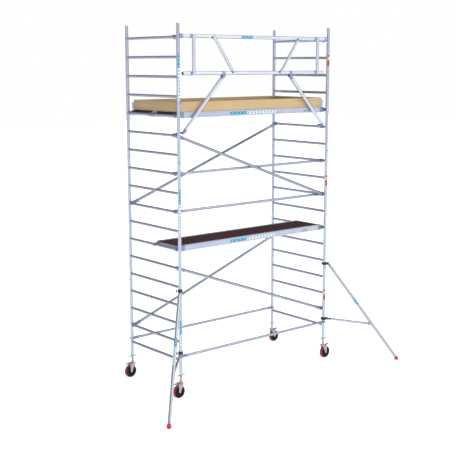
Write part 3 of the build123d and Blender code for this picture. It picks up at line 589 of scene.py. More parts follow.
for end in END.values():
    y = end * HALF_FRAME
    start = Vector((-HALF_BAY + CLAW_REACH, y, base_z))
    base_rails.add(hollow(RUNG_R, TUBE_WALL, 2 * (HALF_BAY - CLAW_REACH), 0.0006, 44), BRACE_SHADED, start, X)
    for side in SIDE.values():
        spot = Vector((side * HALF_BAY, y, base_z))
        inward = Vector((-side, 0, 0))
        grip = hook(POST_R + 0.0003, POST_R + 0.009, 0.07, 0.036, 0.042, 180, 0.0474)
        claws.add(extrude(grip, -0.015, 0.015, 0.002), CAST, spot, UP, inward)
        add_sleeve(claws, placed(spot + inward * SLEEVE_START, inward), RUNG_R, (-0.003, 0.064))
base_rails.made("tower", "aluminium_tube", "base_rails")
claws.made("tower", "aluminium_cast", "brace_claws")
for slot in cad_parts["frame_spigots"].material_slots:
    slot.material = TUBE_CAD

# Platforms
BEAM_W, BEAM_BELOW, DECK_T = 0.05, 0.032, 0.012
TRANSOM = 0.034
BEAM_OUTLINE = mm(
    (1.5, 0), (48.5, 0), (50, 1.5), (50, 68), (62, 68), (62, 70), (50, 70), (50, 82), (56, 82),
    (56, 84), (1.5, 84), (0, 82.5), (0, 68), (1.6, 66.5), (1.6, 63.5), (0, 62), (0, 22),
    (1.6, 20.5), (1.6, 17.5), (0, 16), (0, 1.5))
hooks = Piece("platform_end_castings")
latches = Piece("wind_latch_levers")
platform_labels = []
lid_low, lid_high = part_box("hatch")
HATCH_GAP, LATCH_INSET = 0.003, 0.43
HATCH = (lid_low.x - HATCH_GAP, lid_high.x + HATCH_GAP)


def transoms(first, around):
    if not around:
        return [first + step * -2 * first / 5 for step in range(6)]
    after = HATCH[1] + TRANSOM / 2
    return [first, HATCH[0] - TRANSOM / 2, after] + [after + step * (-first - after) / 3 for step in (1, 2,
                                                                                                      3)]


def add_end_casting(side, y, z):
    """The cast end of one beam, with its hook over the rung."""
    at = placed((side * HALF_BAY, y, z), (0, side, 0), (-side, 0, 0))
    grip = hook(CLAW_BORE, CLAW_OUTER + 0.0003, 0.06, 0.046, 0.05, -90, CLAW_GAP)
    hooks.add(extrude(grip, -0.02, 0.02, 0.002), CAST, at)
    shell = mm((36, 12), (50, 44), (60, 52.5), (128, 52.5), (128, -32.5), (88, -32.5), (46, -24), (30, -14))
    hooks.add(extrude(shell[::-1], -0.0256, 0.0256, 0.002), CAST, at)
    rib = mm((60, 40), (118, 40), (118, -20), (90, -20))
    hooks.add(extrude(rib[::-1], -0.0268, 0.0268, 0.001), CAST, at)
    for x, up in ((0.106, 0.028), (0.106, -0.008)):
        for face in (-1, 1):
            spot = Vector((side * (HALF_BAY - x), y + face * 0.0266, z + up))
            hooks.add(RIVET, SPRING, spot, (0, face, 0))


def add_latch(x, y, z):
    """A wind latch: a pivoting lever with its bolt and a turned thumb piece."""
    at = placed((x, y, z), -Y, X)
    lever = mm((-52, -10), (-30, -14), (20, -11), (50, -9), (55, 0), (50, 10), (20, 12), (-6, 14), (-18, 6),
               (-34, 6), (-40, 14), (-52, 12))
    latches.add(extrude(lever, 0.001, 0.006, 0.0012), STEEL, at)
    latches.add(round_bar(0.012, 0.003, 0.0006, 28), STEEL, at @ shift(0.004, 0, 0.0055))
    latches.add(hexagon(0.0075, 0.0035), SPRING, at @ shift(0.004, 0, 0.0083))
    thumb = at @ shift(0.044, 0, 0.005)
    latches.add(extrude(rectangle(0.012, 0.018, 0.003), 0, 0.0065, 0.001), STEEL, thumb)
    for spot in (-0.047, 0.03):
        latches.add(RIVET, SPRING, at @ shift(spot, -0.002, 0.0055))


screw = dome(0.0048, 0.001)
for name in ("lower", "front", "back"):
    low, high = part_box(f"platform_frame_{name}")
    deck_low, deck_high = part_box(f"deck_{name}")
    length = high.x - low.x
    body = Piece(f"platform_{name}_beams")
    body.add(extrude(BEAM_OUTLINE, 0, length), BEAM, low, X, Y)
    far = Vector((high.x, high.y, low.z))
    body.add(extrude(BEAM_OUTLINE, 0, length), BEAM, far, (-1, 0, 0), -Y)
    under = deck_low.z - 0.0005
    for x in transoms(low.x + TRANSOM / 2, name == "back"):
        start = Vector((x, low.y + BEAM_W - 0.001, under - TRANSOM / 2))
        span = high.y - low.y - 2 * BEAM_W + 0.002
        body.add(extrude(rectangle(TRANSOM, TRANSOM, 0.003), 0, span), BEAM, start, Y)
    # A thin strip of deck board across each end, under the deck: partly the deck's dark edge, partly painted
    # shade over the end transom.
    if name != "lower":
        for side in SIDE.values():
            edge = placed(((low.x + high.x) / 2 + side * (length / 2 + 0.0004), low.y + 0.06, under - 0.018),
                          Y, UP)
            body.add(extrude(rectangle(0.034, 0.003, 0.001), 0, high.y - low.y - 0.12, 0.0005), DECK, edge)
    body.made("tower", "aluminium_tube", f"platform_frame_{name}")
    board = Piece(f"deck_{name}_board")
    spans = [(deck_low.x, deck_high.x)] if name != "back" else [
        (deck_low.x, HATCH[0]), (HATCH[1], deck_high.x)]
    width = deck_high.y - deck_low.y - 0.001
    middle_y = (deck_low.y + deck_high.y) / 2
    for start, stop in spans:
        at = placed((start + 0.0005, middle_y, (deck_low.z + deck_high.z) / 2 - 0.001), X, Y)
        board.add(extrude(rectangle(width, DECK_T - 0.002, 0.0012), 0, stop - start - 0.001), DECK, at)
        count = max(2, round((stop - start) / 0.29))
        for step in range(count + 1):
            x = start + 0.02 + (stop - start - 0.04) * step / count
            for y in (deck_low.y + 0.022, deck_high.y - 0.022):
                board.add(screw, SPRING, shift(x, y, deck_high.z - 0.0021))
    board.made("tower", "deck_board", f"deck_{name}")
    for side in SIDE.values():
        for y in (low.y + BEAM_W / 2, high.y - BEAM_W / 2):
            add_end_casting(side, y, low.z + BEAM_BELOW)
    if name != "back":
        add_latch(HALF_BAY - LATCH_INSET, low.y, low.z + BEAM_BELOW)
        platform_labels.append((low.y, low.z))
hooks.made("tower", "aluminium_cast", "platform_hooks")
latches.made("tower", "galvanised", "wind_latches")

# The hatch: a board with a metal edge, a finger hole, a turn latch and two hinge leaves
lid = Piece("hatch_lid")
deck_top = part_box("deck_back")[1].z
hinge_y = lid_high.y - 0.007
edge_y = hinge_y - 0.008
middle_x = (lid_low.x + lid_high.x) / 2
middle_y = (lid_low.y + edge_y) / 2
at = placed((lid_low.x + 0.0005, middle_y, deck_top - DECK_T / 2 - 0.001), X, Y)
lid.add(extrude(rectangle(edge_y - lid_low.y - 0.001, DECK_T - 0.002, 0.0012), 0,
                lid_high.x - lid_low.x - 0.001), DECK, at)
for x in (lid_low.x + 0.007, lid_high.x - 0.007):
    start = Vector((x, lid_low.y + 0.0005, deck_top - DECK_T / 2))
    lid.add(extrude(rectangle(0.013, DECK_T, 0.001), 0, edge_y - lid_low.y - 0.001), BEAM, start, Y)
for y in (lid_low.y + 0.0066, edge_y - 0.0066):
    start = Vector((lid_low.x + 0.0005, y, deck_top - DECK_T / 2))
    lid.add(extrude(rectangle(DECK_T, 0.0128, 0.001), 0, lid_high.x - lid_low.x - 0.001), BEAM, start, X)
grip_at = shift(middle_x, lid_low.y + 0.075, deck_top - 0.0021)
lid.add(lathe(mm((19, 0), (20.5, 1.8), (27, 1.8), (29, 0), (24, -4), (19, -4)), 36), HUB, grip_at)
lid.add(round_bar(0.0192, 0.003, 0.0005, 36, -0.004), BLACK, grip_at)
for x in (middle_x - 0.15, middle_x + 0.15):
    turn_at = shift(x, lid_low.y + 0.04, deck_top - 0.0022)
    lid.add(extrude(rectangle(0.05, 0.014, 0.006), 0, 0.002, 0.0005), STEEL, turn_at)
    lid.add(dome(0.005, 0.0012), SPRING, turn_at @ shift(0, 0, 0.001))
for x in (middle_x - 0.2, middle_x + 0.2):
    leaf = shift(x, hinge_y - 0.029, deck_top)
    lid.add(extrude(rectangle(0.03, 0.046, 0.004), 0, 0.003, 0.0006), STEEL, leaf)
    for across, back in ((-0.008, -0.014), (0.008, -0.014), (0.0, 0.004)):
        lid.add(dome(0.0036, 0.001), SPRING, leaf @ shift(across, back, 0.003))
    tube_at = placed((x - 0.015, hinge_y, deck_top + 0.008), X)
    lid.add(lathe(mm((3.4, 0), (6.4, 0), (7, 0.8), (7, 29.2), (6.4, 30), (3.4, 30)), 28), STEEL, tube_at)
lid.made("hatch", "deck_board", "hatch")
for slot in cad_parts["hatch_hinges"].material_slots:
    slot.material = STEEL_CAD

# Toe boards and their corner clips
board_low, board_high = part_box("toe_boards")
BOARD_T, CLIP_COVER = 0.025, 0.0385
tall = board_high.z - board_low.z
clip_low, clip_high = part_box("toe_board_clips")
end_x = board_high.x - BOARD_T
boards = Piece("toe_board_planks")
mid_z = (board_low.z + board_high.z) / 2
for y in (board_low.y + BOARD_T / 2, board_high.y - BOARD_T / 2):
    boards.add(extrude(rectangle(BOARD_T, tall, 0.003), 0, 2 * end_x, 0.001), BOARD, (-end_x, y, mid_z), X, Y)
for side in SIDE.values():
    start = Vector((side * (end_x + BOARD_T / 2), clip_low.y + CLIP_COVER, mid_z))
    boards.add(extrude(rectangle(tall, BOARD_T, 0.003), 0, clip_high.y - clip_low.y - 2 * CLIP_COVER, 0.001),
               BOARD, start, Y, UP)
boards.made("tower", "toe_board", "toe_boards")
corner_clips = Piece("toe_board_corner_clips")
CLIP_W = 0.038
for side in SIDE.values():
    for end in END.values():
        y = (clip_high.y - CLIP_W / 2) if end > 0 else (clip_low.y + CLIP_W / 2)
        corner = shift(side * end_x, y, clip_low.z) @ Matrix.Diagonal((side, end, 1, 1))
        high = clip_high.z - clip_low.z
        outline = mm((1, -18), (30, -18), (30, -6), (46, -4), (47.5, 4), (44, 10), (32, 12), (30, 18.5),
                     (1, 18.5))
        corner_clips.add(extrude(outline, 0.004, high - 0.004, 0.002), CLIP, corner)
        for level in (0, high - 0.01):
            corner_clips.add(extrude(rectangle(0.036, 0.036, 0.005, 0.0185, 0.0), level, level + 0.01, 0.002),
                             CLIP, corner)
        corner_clips.add(round_bar(0.005, high - 0.004, 0.001, 20, 0.002), DARK,
                         corner @ shift(0.04, 0.003, 0))
        for up in (0.03, 0.07):
            corner_clips.add(RIVET, SPRING, (side * (end_x + 0.015), y + end * 0.0183, clip_low.z + up),
                             (0, end, 0))
corner_clips.made("tower", "clip_plastic", "toe_board_clips")

# Guardrail frame
guard_low, guard_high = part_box("guardrail_frame")
GUARD_R = 0.026
UPRIGHT_INSET, UPRIGHT_FORWARD = 0.265, 0.033
DIAGONAL_FOOT, DIAGONAL_HEAD = 0.47, 0.875
guard_y = guard_high.y - GUARD_R
guard_top, guard_under = guard_high.z - GUARD_R, guard_low.z + GUARD_R
top_x, under_x = guard_high.x, HALF_BAY - 0.085
guard = Piece("guardrail_tubes")
for x, z in ((top_x, guard_top), (under_x, guard_under)):
    guard.add(hollow(GUARD_R, TUBE_WALL, 2 * x, 0.0006, 52), GUARD_LIT, (-x, guard_y, z), X)
for side in SIDE.values():
    x = side * (HALF_BAY - UPRIGHT_INSET)
    start = Vector((x, guard_y - UPRIGHT_FORWARD, guard_under - 0.02))
    guard.add(round_bar(0.025, guard_top - guard_under + 0.04, 0.002, 48), GUARD_LIT, start, UP)
    low = Vector((side * DIAGONAL_FOOT, guard_y - 0.008, guard_under - 0.018))
    high = Vector((side * DIAGONAL_HEAD, guard_y - 0.008, guard_top + 0.018))
    guard.add(round_bar(0.022, (high - low).length, 0.002, 44), GUARD_LIT, low, high - low)
    for z in (guard_top, guard_under):
        guard.add(collar(0.0258, 0.0285, 0, 0.022), CAST, (x - 0.052, guard_y, z), X)
    # Dark wedges at the left of each diagonal's ends: painted shade at the joints.
    for middle, z, turn in ((side * DIAGONAL_HEAD, guard_top, -1), (side * DIAGONAL_FOOT, guard_under, 1)):
        shade_wedge = [(0, 0), (0.046, 0.0), (0.046 if side * turn > 0 else 0.0, turn * 0.04)]
        if turn < 0:
            shade_wedge = shade_wedge[::-1]
        spot = placed((middle - 0.058, guard_y - 0.018, z), -Y, X)
        guard.add(extrude(shade_wedge, 0, 0.01, 0.001), DARK, spot)
guard.made("tower", "aluminium_tube", "guardrail_frame")

legs = Piece("guardrail_leg_tubes")
fittings = Piece("guardrail_fittings")
LEG_RUNG, LEG_INSET, TOP_RUNG = 12, 0.045, 17
HEAD_INSET, FOOT_INSET, PIVOT_DROP = 0.84, 0.09, 0.045
FOOT_CLAW_Y, TOP_CLAW_Y = -HALF_FRAME + 0.105, -HALF_FRAME + 0.092
for side in SIDE.values():
    head = Vector((side * (HALF_BAY - HEAD_INSET), guard_y, guard_under - PIVOT_DROP))
    foot = Vector((side * (HALF_BAY - FOOT_INSET), guard_y, rung_z(LEG_RUNG) + 0.035))
    run = (foot - head).normalized()
    legs.add(hollow(GUARD_R, TUBE_WALL, (foot - head).length - 2 * LEG_INSET, 0.0006, 48), GUARD_LIT,
             head + run * LEG_INSET, run)
    for spot, toward, bush in ((head, run, 0.05), (foot, -run, 0.052)):
        fittings.add(round_bar(0.0235, bush, 0.004, 40), CAST, spot, toward)
        fittings.add(collar(0.0265, 0.0275, 0.04, 0.058, 40), CAST, spot, toward)
    # The clevis under the rail, with its pivot bolt
    for face in (-1, 1):
        cheek = mm((-30, 55), (30, 55), (26, -4), (12, -22), (-12, -22), (-26, -4))
        fittings.add(extrude(cheek[::-1], -0.002, 0.002, 0.0008), CAST, head + Vector((0, face * 0.0245, 0)),
                     -Y, X)
        fittings.add(hexagon(0.009, 0.005), SPRING, head + Vector((0, face * 0.0262, 0)), (0, face, 0))
    fittings.add(collar(0.0262, 0.029, 0, 0.06), CAST, head + Vector((-0.03, 0, PIVOT_DROP)), X)
    # The foot: an arm across to a claw on the rung
    rung_spot = Vector((side * HALF_BAY, FOOT_CLAW_Y, rung_z(LEG_RUNG)))
    neck = Vector((foot.x, FOOT_CLAW_Y, foot.z)) - rung_spot
    at = placed(rung_spot, (0, side, 0), neck)
    grip = hook(CLAW_BORE, CLAW_OUTER, neck.length, 0.036, 0.03, CLAW_MOUTH, CLAW_GAP)
    fittings.add(extrude(grip, -0.022, 0.022, 0.0022), CAST, at)
    fittings.add(round_bar(0.016, abs(FOOT_CLAW_Y - guard_y) + 0.04, 0.003, 32, -0.02), CAST, foot, Y)
    # The claw at the top rail's end
    rung_spot = Vector((side * HALF_BAY, TOP_CLAW_Y, rung_z(TOP_RUNG)))
    at = placed(rung_spot, (0, side, 0), (-side, 0, 0))
    grip = hook(CLAW_BORE, CLAW_OUTER, 0.08, 0.036, 0.036, CLAW_MOUTH, CLAW_GAP)
    fittings.add(extrude(grip, -0.022, 0.022, 0.0022), CAST, at)
    arm_x = side * (HALF_BAY - 0.065)
    depth = TOP_CLAW_Y - guard_y
    arm = placed((arm_x, guard_y - 0.004, rung_z(TOP_RUNG) + 0.009), Y, X)
    fittings.add(extrude(rectangle(0.03, 0.046, 0.006), 0.0, depth + 0.02, 0.002), CAST, arm)
    fittings.add(collar(0.0262, 0.03, 0, 0.036), CAST, (arm_x - 0.018, guard_y, guard_top), X)
    fittings.add(round_bar(0.006, 0.06, 0.001, 20, -0.03), DARK, (arm_x, guard_y, guard_top), UP)
legs.made("tower", "aluminium_tube", "guardrail_legs")
fittings.made("tower", "aluminium_cast", "guardrail_claws")

# Outriggers
HEADING = radians(45)
PIVOT, REACH, ARM_REACH = 0.065, 1.265, 0.82
CLAMP_TOP, CLAMP_BOTTOM = rung_z(4) - 0.05, rung_z(0) + 0.114
LEG_R, SOCKET, TUBE_STOP, FOOT_START = 0.025, 0.04, 0.055, 0.063
CLAMP_RING = lathe(mirrored(mm((25.7, -22), (34, -22), (36.2, -19), (36.2, -10), (34.5, -8))), 48)


def outrigger_lines(side):
    """The post's axis, the way out from it, the leg's pivot and the leg's direction."""
    outward = Vector((side * sin(HEADING), -cos(HEADING), 0))
    post = Vector((side * HALF_BAY, -HALF_FRAME, 0))
    upper = post + outward * PIVOT + UP * CLAMP_TOP
    return post, outward, upper, (post + outward * REACH - upper).normalized()


for side_name, side in SIDE.items():
    post, outward, upper, run = outrigger_lines(side)
    across = outward.cross(UP)
    ground = post + outward * REACH
    lower = post + outward * PIVOT + UP * CLAMP_BOTTOM
    arm_end = post + outward * ARM_REACH + UP * (CLAMP_TOP * (REACH - ARM_REACH) / (REACH - PIVOT))
    arm_run = (arm_end - lower).normalized()
    clamp = Piece(f"outrigger_{side_name}_clamp_castings")
    for pivot, toward in ((upper, run), (lower, arm_run)):
        at = placed(Vector((post.x, post.y, pivot.z)), UP, outward)
        clamp.add(CLAMP_RING, BLACK, at)
        for turn in (-1, 1):
            lug = rectangle(0.046, 0.009, 0.003, 0.046, turn * 0.0085)
            clamp.add(extrude(lug, -0.021, 0.021, 0.002), BLACK, at)
            back_lug = rectangle(0.016, 0.008, 0.003, -0.04, turn * 0.006)
            clamp.add(extrude(back_lug, -0.018, 0.018, 0.002), BLACK, at)
        boss = placed(pivot - across * 0.015, across, outward)
        clamp.add(round_bar(0.021, 0.03, 0.003, 40), BLACK, boss)
        clamp.add(hexagon(0.01, 0.006), SPRING, pivot + across * 0.0148, across)
        clamp.add(hexagon(0.01, 0.007), SPRING, pivot - across * 0.0148, -across)
        clamp.add(round_bar(0.0115, 0.04, 0.002, 32), BLACK, pivot, toward)
        clamp.add(lathe(mm((0, 34), (17, 34), (20.5, 40), (20.5, 52), (0, 52)), 36, closed=False), BLACK,
                  pivot, toward)
        bolt = placed(post + UP * pivot.z + outward * 0.03 + across * 0.012, across, UP)
        clamp.add(round_bar(0.0065, 0.046, 0.001, 24), SPRING, bolt)
        clamp.add(extrude(rectangle(0.046, 0.011, 0.005), 0.034, 0.045, 0.003), BLACK, bolt)
        clamp.add(round_bar(0.011, 0.012, 0.002, 28, 0.03), BLACK, bolt)
        back_bolt = placed(post + UP * pivot.z - outward * 0.042 - across * 0.014, across)
        clamp.add(round_bar(0.004, 0.028, 0.001, 20), SPRING, back_bolt)
    clamp.made(f"outrigger_{side_name}", "clamp_black", f"outrigger_{side_name}_clamps")
    tubes = Piece(f"outrigger_{side_name}_leg_and_arm")
    start, stop = upper + run * SOCKET, ground - run * TUBE_STOP
    total = (stop - start).length
    tubes.add(hollow(LEG_R, 0.003, total, 0.001, 52), LEG, start, run)
    tubes.add(hollow(0.019, 0.0025, (arm_end - lower).length - SOCKET - 0.026, 0.0008, 44), TUBE,
              lower + arm_run * SOCKET, arm_run)
    tubes.add(round_bar(0.0215, 0.04, 0.002, 36), CAST, arm_end - arm_run * 0.07, arm_run)
    for turn in (-1, 1):
        tab = rectangle(0.06, 0.034, 0.01)
        tubes.add(extrude(tab, -0.0025, 0.0025, 0.0008), STEEL,
                  arm_end - arm_run * 0.028 + across * turn * 0.0185, across, arm_run)
    meet = upper + run * (upper.z - arm_end.z) / -run.z
    tubes.add(collar(0.0252, 0.0275, -0.022, 0.022), LEG, meet, run)
    tubes.add(round_bar(0.006, 0.056, 0.001, 20, -0.028), SPRING, arm_end - arm_run * 0.016, across)
    for share in (0.62, 0.66):
        for turn in (-1, 1):
            tubes.add(RIVET, SPRING, start + run * total * share + across * turn * 0.0247, across * turn)
    tubes.made(f"outrigger_{side_name}", "aluminium_tube", f"outrigger_{side_name}_tubes")
    foot = Piece(f"outrigger_{side_name}_rubber_foot")
    profile = mm((25.2, 0), (29, 0), (31.5, 3), (31.5, 10), (30, 11.5), (30, 13.5), (32, 15), (33, 24),
                 (33, 40), (31, 50), (24, 58), (0, 61))
    rings, faces = lathe([(0.0, 0.002)] + profile, 44, closed=False)
    frame_at = placed(ground - run * FOOT_START, run)
    flat = [Vector((p.x, p.y, max(p.z, 0.0))) for p in (frame_at @ point for point in rings)]
    back = frame_at.inverted()
    foot.add(([back @ p for p in flat], faces), RUBBER, frame_at)
    foot.add(loft([around(0.021, 36, z) for z in (0.0005, 0.0105)]), RUBBER, Matrix.Translation(ground))
    foot.made(f"outrigger_{side_name}", "foot_rubber", f"outrigger_{side_name}_foot")

# Casters and their levelling legs
SPINDLE_R, PITCH_OF_THREAD, TRAIL, AXLE_Z, WHEEL_R = 0.016, 0.008, 0.042, 0.1, 0.1
SPINDLE_LENGTH, SPOKES = 0.55, 8
WHEEL_HALF, FORK_TOP, CROWN = 0.025, 0.214, 0.008
ARM_IN, ARM_T, EAR_IN, LEVER_IN, LEVER_T = 0.029, 0.005, 0.036, 0.029, 0.006
LEVER_X, LEVER_Z = 0.045, 0.226


def thread(low, high):
    """A threaded rod: a helix cut into its surface."""
    count, steps = 20, round((high - low) / (PITCH_OF_THREAD / 6))
    rings = []
    for level in range(steps + 1):
        z = low + (high - low) * level / steps
        ring = []
        for step in range(count):
            phase = (z / PITCH_OF_THREAD - step / count) % 1
            depth = 0.0022 * min(1.0, max(0.0, 2.2 * abs(phase - 0.5) - 0.15))
            radius = SPINDLE_R - 0.0001 - depth
            turn = 2 * pi * step / count
            ring.append(Vector((radius * cos(turn), radius * sin(turn), z)))
        rings.append(ring)
    return loft(rings)


def tread(radius, half):
    """The tyre's section, turned about the axle."""
    inner = radius - 0.0151
    return lathe(mirrored([(inner, -half + 0.001), (radius - 0.0075, -half), (radius - 0.004, -half + 0.0015),
                           (radius - 0.0015, -half + 0.005), (radius - 0.0004, -half + 0.01),
                           (radius, -0.008)]), 96)


HUB_SHAPE = lathe(mirrored(mm((6.4, -25), (19, -25), (21.5, -23), (23, -12), (30, -8.5), (64, -8.5),
                              (68, -12), (70, -20), (73.5, -23.5), (84, -23.5), (85.2, -22))), 72)
TREAD_SHAPE = tread(WHEEL_R, WHEEL_HALF)
HUB_CAP = lathe(mm((6.6, 0), (15, 0), (14.6, 1.2), (6.6, 1.2)), 32)
SIDE_RING = lathe(mm((85, 0), (92.5, 0), (93, 0.4), (92.2, 1.3), (89, 1.7), (85, 1.3)), 96)
SPOKE = extrude(mirrored([(0.02, -0.0035), (0.071, -0.0022)]), 0.006, 0.0165, 0.0012)

for end_name, side_name in CORNERS:
    corner = f"{end_name}_{side_name}"
    x, y, out = SIDE[side_name] * HALF_BAY, END[end_name] * HALF_FRAME, SIDE[side_name]
    column = shift(x, y, 0)
    axle_x = x + out * TRAIL
    leg_low, leg_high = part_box(f"leg_{corner}")
    nut_low, nut_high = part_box(f"leg_nut_{corner}")
    swivel = leg_high.z - SPINDLE_LENGTH
    outward = Vector((out, 0, 0))
    leg = Piece(f"spindle_{corner}")
    leg.add(thread(swivel + 0.022, leg_high.z - 0.006), STEEL, column)
    leg.add(round_bar(0.0155, 0.03, 0.001, 32, swivel), STEEL, column)
    leg.add(round_bar(0.012, 0.008, 0.002, 32, leg_high.z - 0.008), STEEL, column)
    leg.add(round_bar(0.0078, swivel - leg_low.z, 0.001, 28, leg_low.z), STEEL, column)
    leg.add(hexagon(0.0118, 0.005), SPRING, column @ shift(0, 0, leg_low.z))
    leg.made(f"leg_{corner}", "galvanised", f"leg_{corner}")
    nut = Piece(f"wing_nut_{corner}")
    high = nut_high.z - nut_low.z
    nut.add(lathe([(0.0163, 0.0), (0.025, 0.0), (0.0275, 0.003), (0.0275, 0.011), (0.0288, 0.0135),
                   (0.0288, high - 0.002), (0.0268, high), (0.0163, high)], 40), STEEL,
            column @ shift(0, 0, nut_low.z))
    wing = mirrored(mm((22, -10.5), (60, -6.5), (74, -6.8), (77.6, -3)))
    for turn in (0, pi):
        at = column @ shift(0, 0, nut_low.z + 0.0005) @ Matrix.Rotation(turn, 4, "Z")
        nut.add(extrude(wing, 0, 0.0112, 0.0035), STEEL, at)
    nut.made(f"nut_{corner}", "galvanised", f"leg_nut_{corner}")
    fork = Piece(f"fork_{corner}")
    upright = (0, -out, 0)
    crown_at = shift(x + out * TRAIL / 2, y, FORK_TOP - CROWN) @ Matrix.Diagonal((out, 1, 1, 1))
    fork.add(extrude(rectangle(0.087, 0.078, 0.014), 0, CROWN, 0.002), STEEL, crown_at)
    fork.add(extrude(rectangle(0.072, 0.062, 0.012), -0.004, 0.001, 0.0012), STEEL, crown_at)
    drop = FORK_TOP - CROWN - AXLE_Z
    blade = [(-0.0165, 0.0), (-0.014, -0.0095), (-0.0085, -0.015), (0.0, -0.0168), (0.0085, -0.015),
             (0.014, -0.0095), (0.0165, 0.0), (0.0195, drop * 0.45), (0.0225, drop * 0.75),
             (0.0225, drop + 0.004), (-0.0648, drop + 0.004), (-0.064, drop * 0.86), (-0.048, drop * 0.62),
             (-0.029, drop * 0.3)]
    for face in (-1, 1):
        at = placed((axle_x, y + face * (ARM_IN + ARM_T / 2), AXLE_Z), upright, outward)
        fork.add(extrude(blade, -ARM_T / 2, ARM_T / 2, 0.0012), STEEL, at)
        rib = [(-0.008, 0.016), (0.008, 0.016), (0.006, drop * 0.8), (-0.034, drop * 0.8)]
        outer = face * out
        low_rib, high_rib = sorted((-outer * ARM_T * 0.45, -outer * (ARM_T / 2 + 0.0022)))
        fork.add(extrude(rib, low_rib, high_rib, 0.001), STEEL, at)
        ear = mm((-11, -11), (11, -11), (11, 4), (7, 10.5), (-7, 10.5), (-11, 4))
        ear_at = placed((x + out * LEVER_X, y + face * (EAR_IN + 0.0025), LEVER_Z), upright, outward)
        fork.add(extrude(ear, -0.0024, 0.0024, 0.0008), STEEL, ear_at)
        fork.add(RIVET, SPRING, (x + out * LEVER_X, y + face * (EAR_IN + 0.0046), LEVER_Z), (0, face, 0))
        head = placed((axle_x, y + face * (ARM_IN + ARM_T), AXLE_Z), (0, face, 0))
        fork.add(round_bar(0.0125, 0.0016, 0.0004, 32), AXLE, head)
        fork.add(hexagon(0.0098, 0.0058), AXLE, head)
    fork.add(round_bar(0.0059, 2 * ARM_IN + 2 * ARM_T, 0.0005, 28), AXLE,
             (axle_x, y - ARM_IN - ARM_T, AXLE_Z), Y)
    fork.add(lathe(mm((16.2, 0), (26.2, 0), (26.6, 2), (26.2, 8), (24.5, 10.5), (25, 13), (26.8, 16),
                      (26.8, 27), (24.5, 32.5), (20, 33), (16.2, 33)), 48), STEEL,
             column @ shift(0, 0, FORK_TOP))
    fork.add(round_bar(0.0038, 2 * EAR_IN + 0.006, 0.0006, 24), SPRING,
             (x + out * LEVER_X, y - EAR_IN - 0.003, LEVER_Z), Y)
    fork.made(f"fork_{corner}", "galvanised", f"caster_fork_{corner}")
    axle = placed((axle_x, y, AXLE_Z), Y, X)
    hub = Piece(f"wheel_hub_moulding_{corner}")
    hub.add(HUB_SHAPE, HUB, axle)
    for face in (-1, 1):
        for step in range(SPOKES):
            turned = Matrix.Rotation(2 * pi * step / SPOKES, 4, "Z") @ Matrix.Diagonal((1, 1, face, 1))
            hub.add(SPOKE, HUB, axle @ turned)
        for shape, material, depth in ((HUB_CAP, STEEL, 0.0245), (SIDE_RING, HUB, 0.024)):
            hub.add(shape, material, (axle_x, y + face * depth, AXLE_Z), (0, face, 0))
    hub.made(f"wheel_{corner}", "hub_black", f"wheel_hub_{corner}")
    tyre = Piece(f"tyre_tread_{corner}")
    tyre.add(TREAD_SHAPE, TYRE, axle)
    tyre.made(f"wheel_{corner}", "tyre_red", f"tyre_{corner}")
    lever = Piece(f"brake_lever_arms_{corner}")
    arm = mm((-37.5, -5.5), (-20, -6), (56, -6), (56, 6), (-18, 6), (-26, 8.5), (-36, 23.8), (-44, 23.8),
             (-49, 19), (-42, 5))
    for face in (-1, 1):
        at = placed((x, y + face * (LEVER_IN + LEVER_T / 2), LEVER_Z), upright, outward)
        lever.add(extrude(arm, -0.0027, 0.0027, 0.001), BRAKE, at)
        lever.add(lathe(mirrored([(0.0044, -0.0034), (0.0088, -0.0034)]), 28), BRAKE,
                  at @ shift(LEVER_X, 0, 0))
    deck = shift(x, y, 0) @ Matrix.Diagonal((out, 1, 1, 1))
    bridge = rectangle(0.0058, 0.068, 0.002, 0.053)
    lever.add(extrude(bridge, LEVER_Z - 0.0058, LEVER_Z + 0.0058, 0.001), BRAKE, deck)
    neck = mirrored(mm((51, -22), (90, -18), (110, -26)))
    lever.add(extrude(neck, LEVER_Z - 0.0028, LEVER_Z + 0.0028, 0.001), BRAKE, deck)
    lever.add(extrude(rectangle(0.0335, 0.057, 0.009, 0.105), LEVER_Z - 0.0058, LEVER_Z + 0.0046, 0.003),
              PEDAL, deck)
    for step in range(5):
        rib = rectangle(0.003, 0.046, 0.001, 0.093 + step * 0.006)
        lever.add(extrude(rib, LEVER_Z + 0.004, LEVER_Z + 0.0058, 0.0006), PEDAL, deck)
    lever.made(f"lever_{corner}", "brake_red", f"brake_lever_{corner}")


# Labels: plain coloured bands and ticks, wrapped on the tubes and set on the beams
def wrapped(radius, low, high, half_turn):
    """A thin patch on a tube along Z, half_turn degrees either way from X."""
    steps = 10
    outer, inner = [], []
    for z in (low, high):
        for level, dest in ((radius + 0.0004, outer), (radius - 0.0004, inner)):
            dest.append([Vector((level * cos(t), level * sin(t), z)) for t in
                         (radians(half_turn * (2 * s / steps - 1)) for s in range(steps + 1))])
    rings = [outer[0] + inner[0][::-1], outer[1] + inner[1][::-1]]
    return loft(rings)


stickers = Piece("tube_labels")


def band(at, radius, low, high, material, half_turn=58, piece=None):
    (piece or stickers).add(wrapped(radius, low, high, half_turn), material, at)


def block_and_ticks(at, radius, start, block, tick, count, gap, piece=None, half_turn=50):
    """A cyan block with pale bars in it, then a row of small ticks on a pale strip."""
    band(at, radius, start, start + block, CYAN, half_turn, piece=piece)
    bars = 4
    for step in range(bars):
        low = start + block * (step + 0.36) / bars
        band(at, radius + 0.0003, low, low + block * 0.22 / bars, PALE, half_turn * 0.5, piece=piece)
    low = start + block
    band(at, radius - 0.0001, low, low + count * gap + 0.01, PALE, half_turn, piece=piece)
    for step in range(count):
        z = low + gap * (step + 0.5)
        band(at, radius + 0.0003, z, z + tick, TICK, half_turn * 0.55, piece=piece)


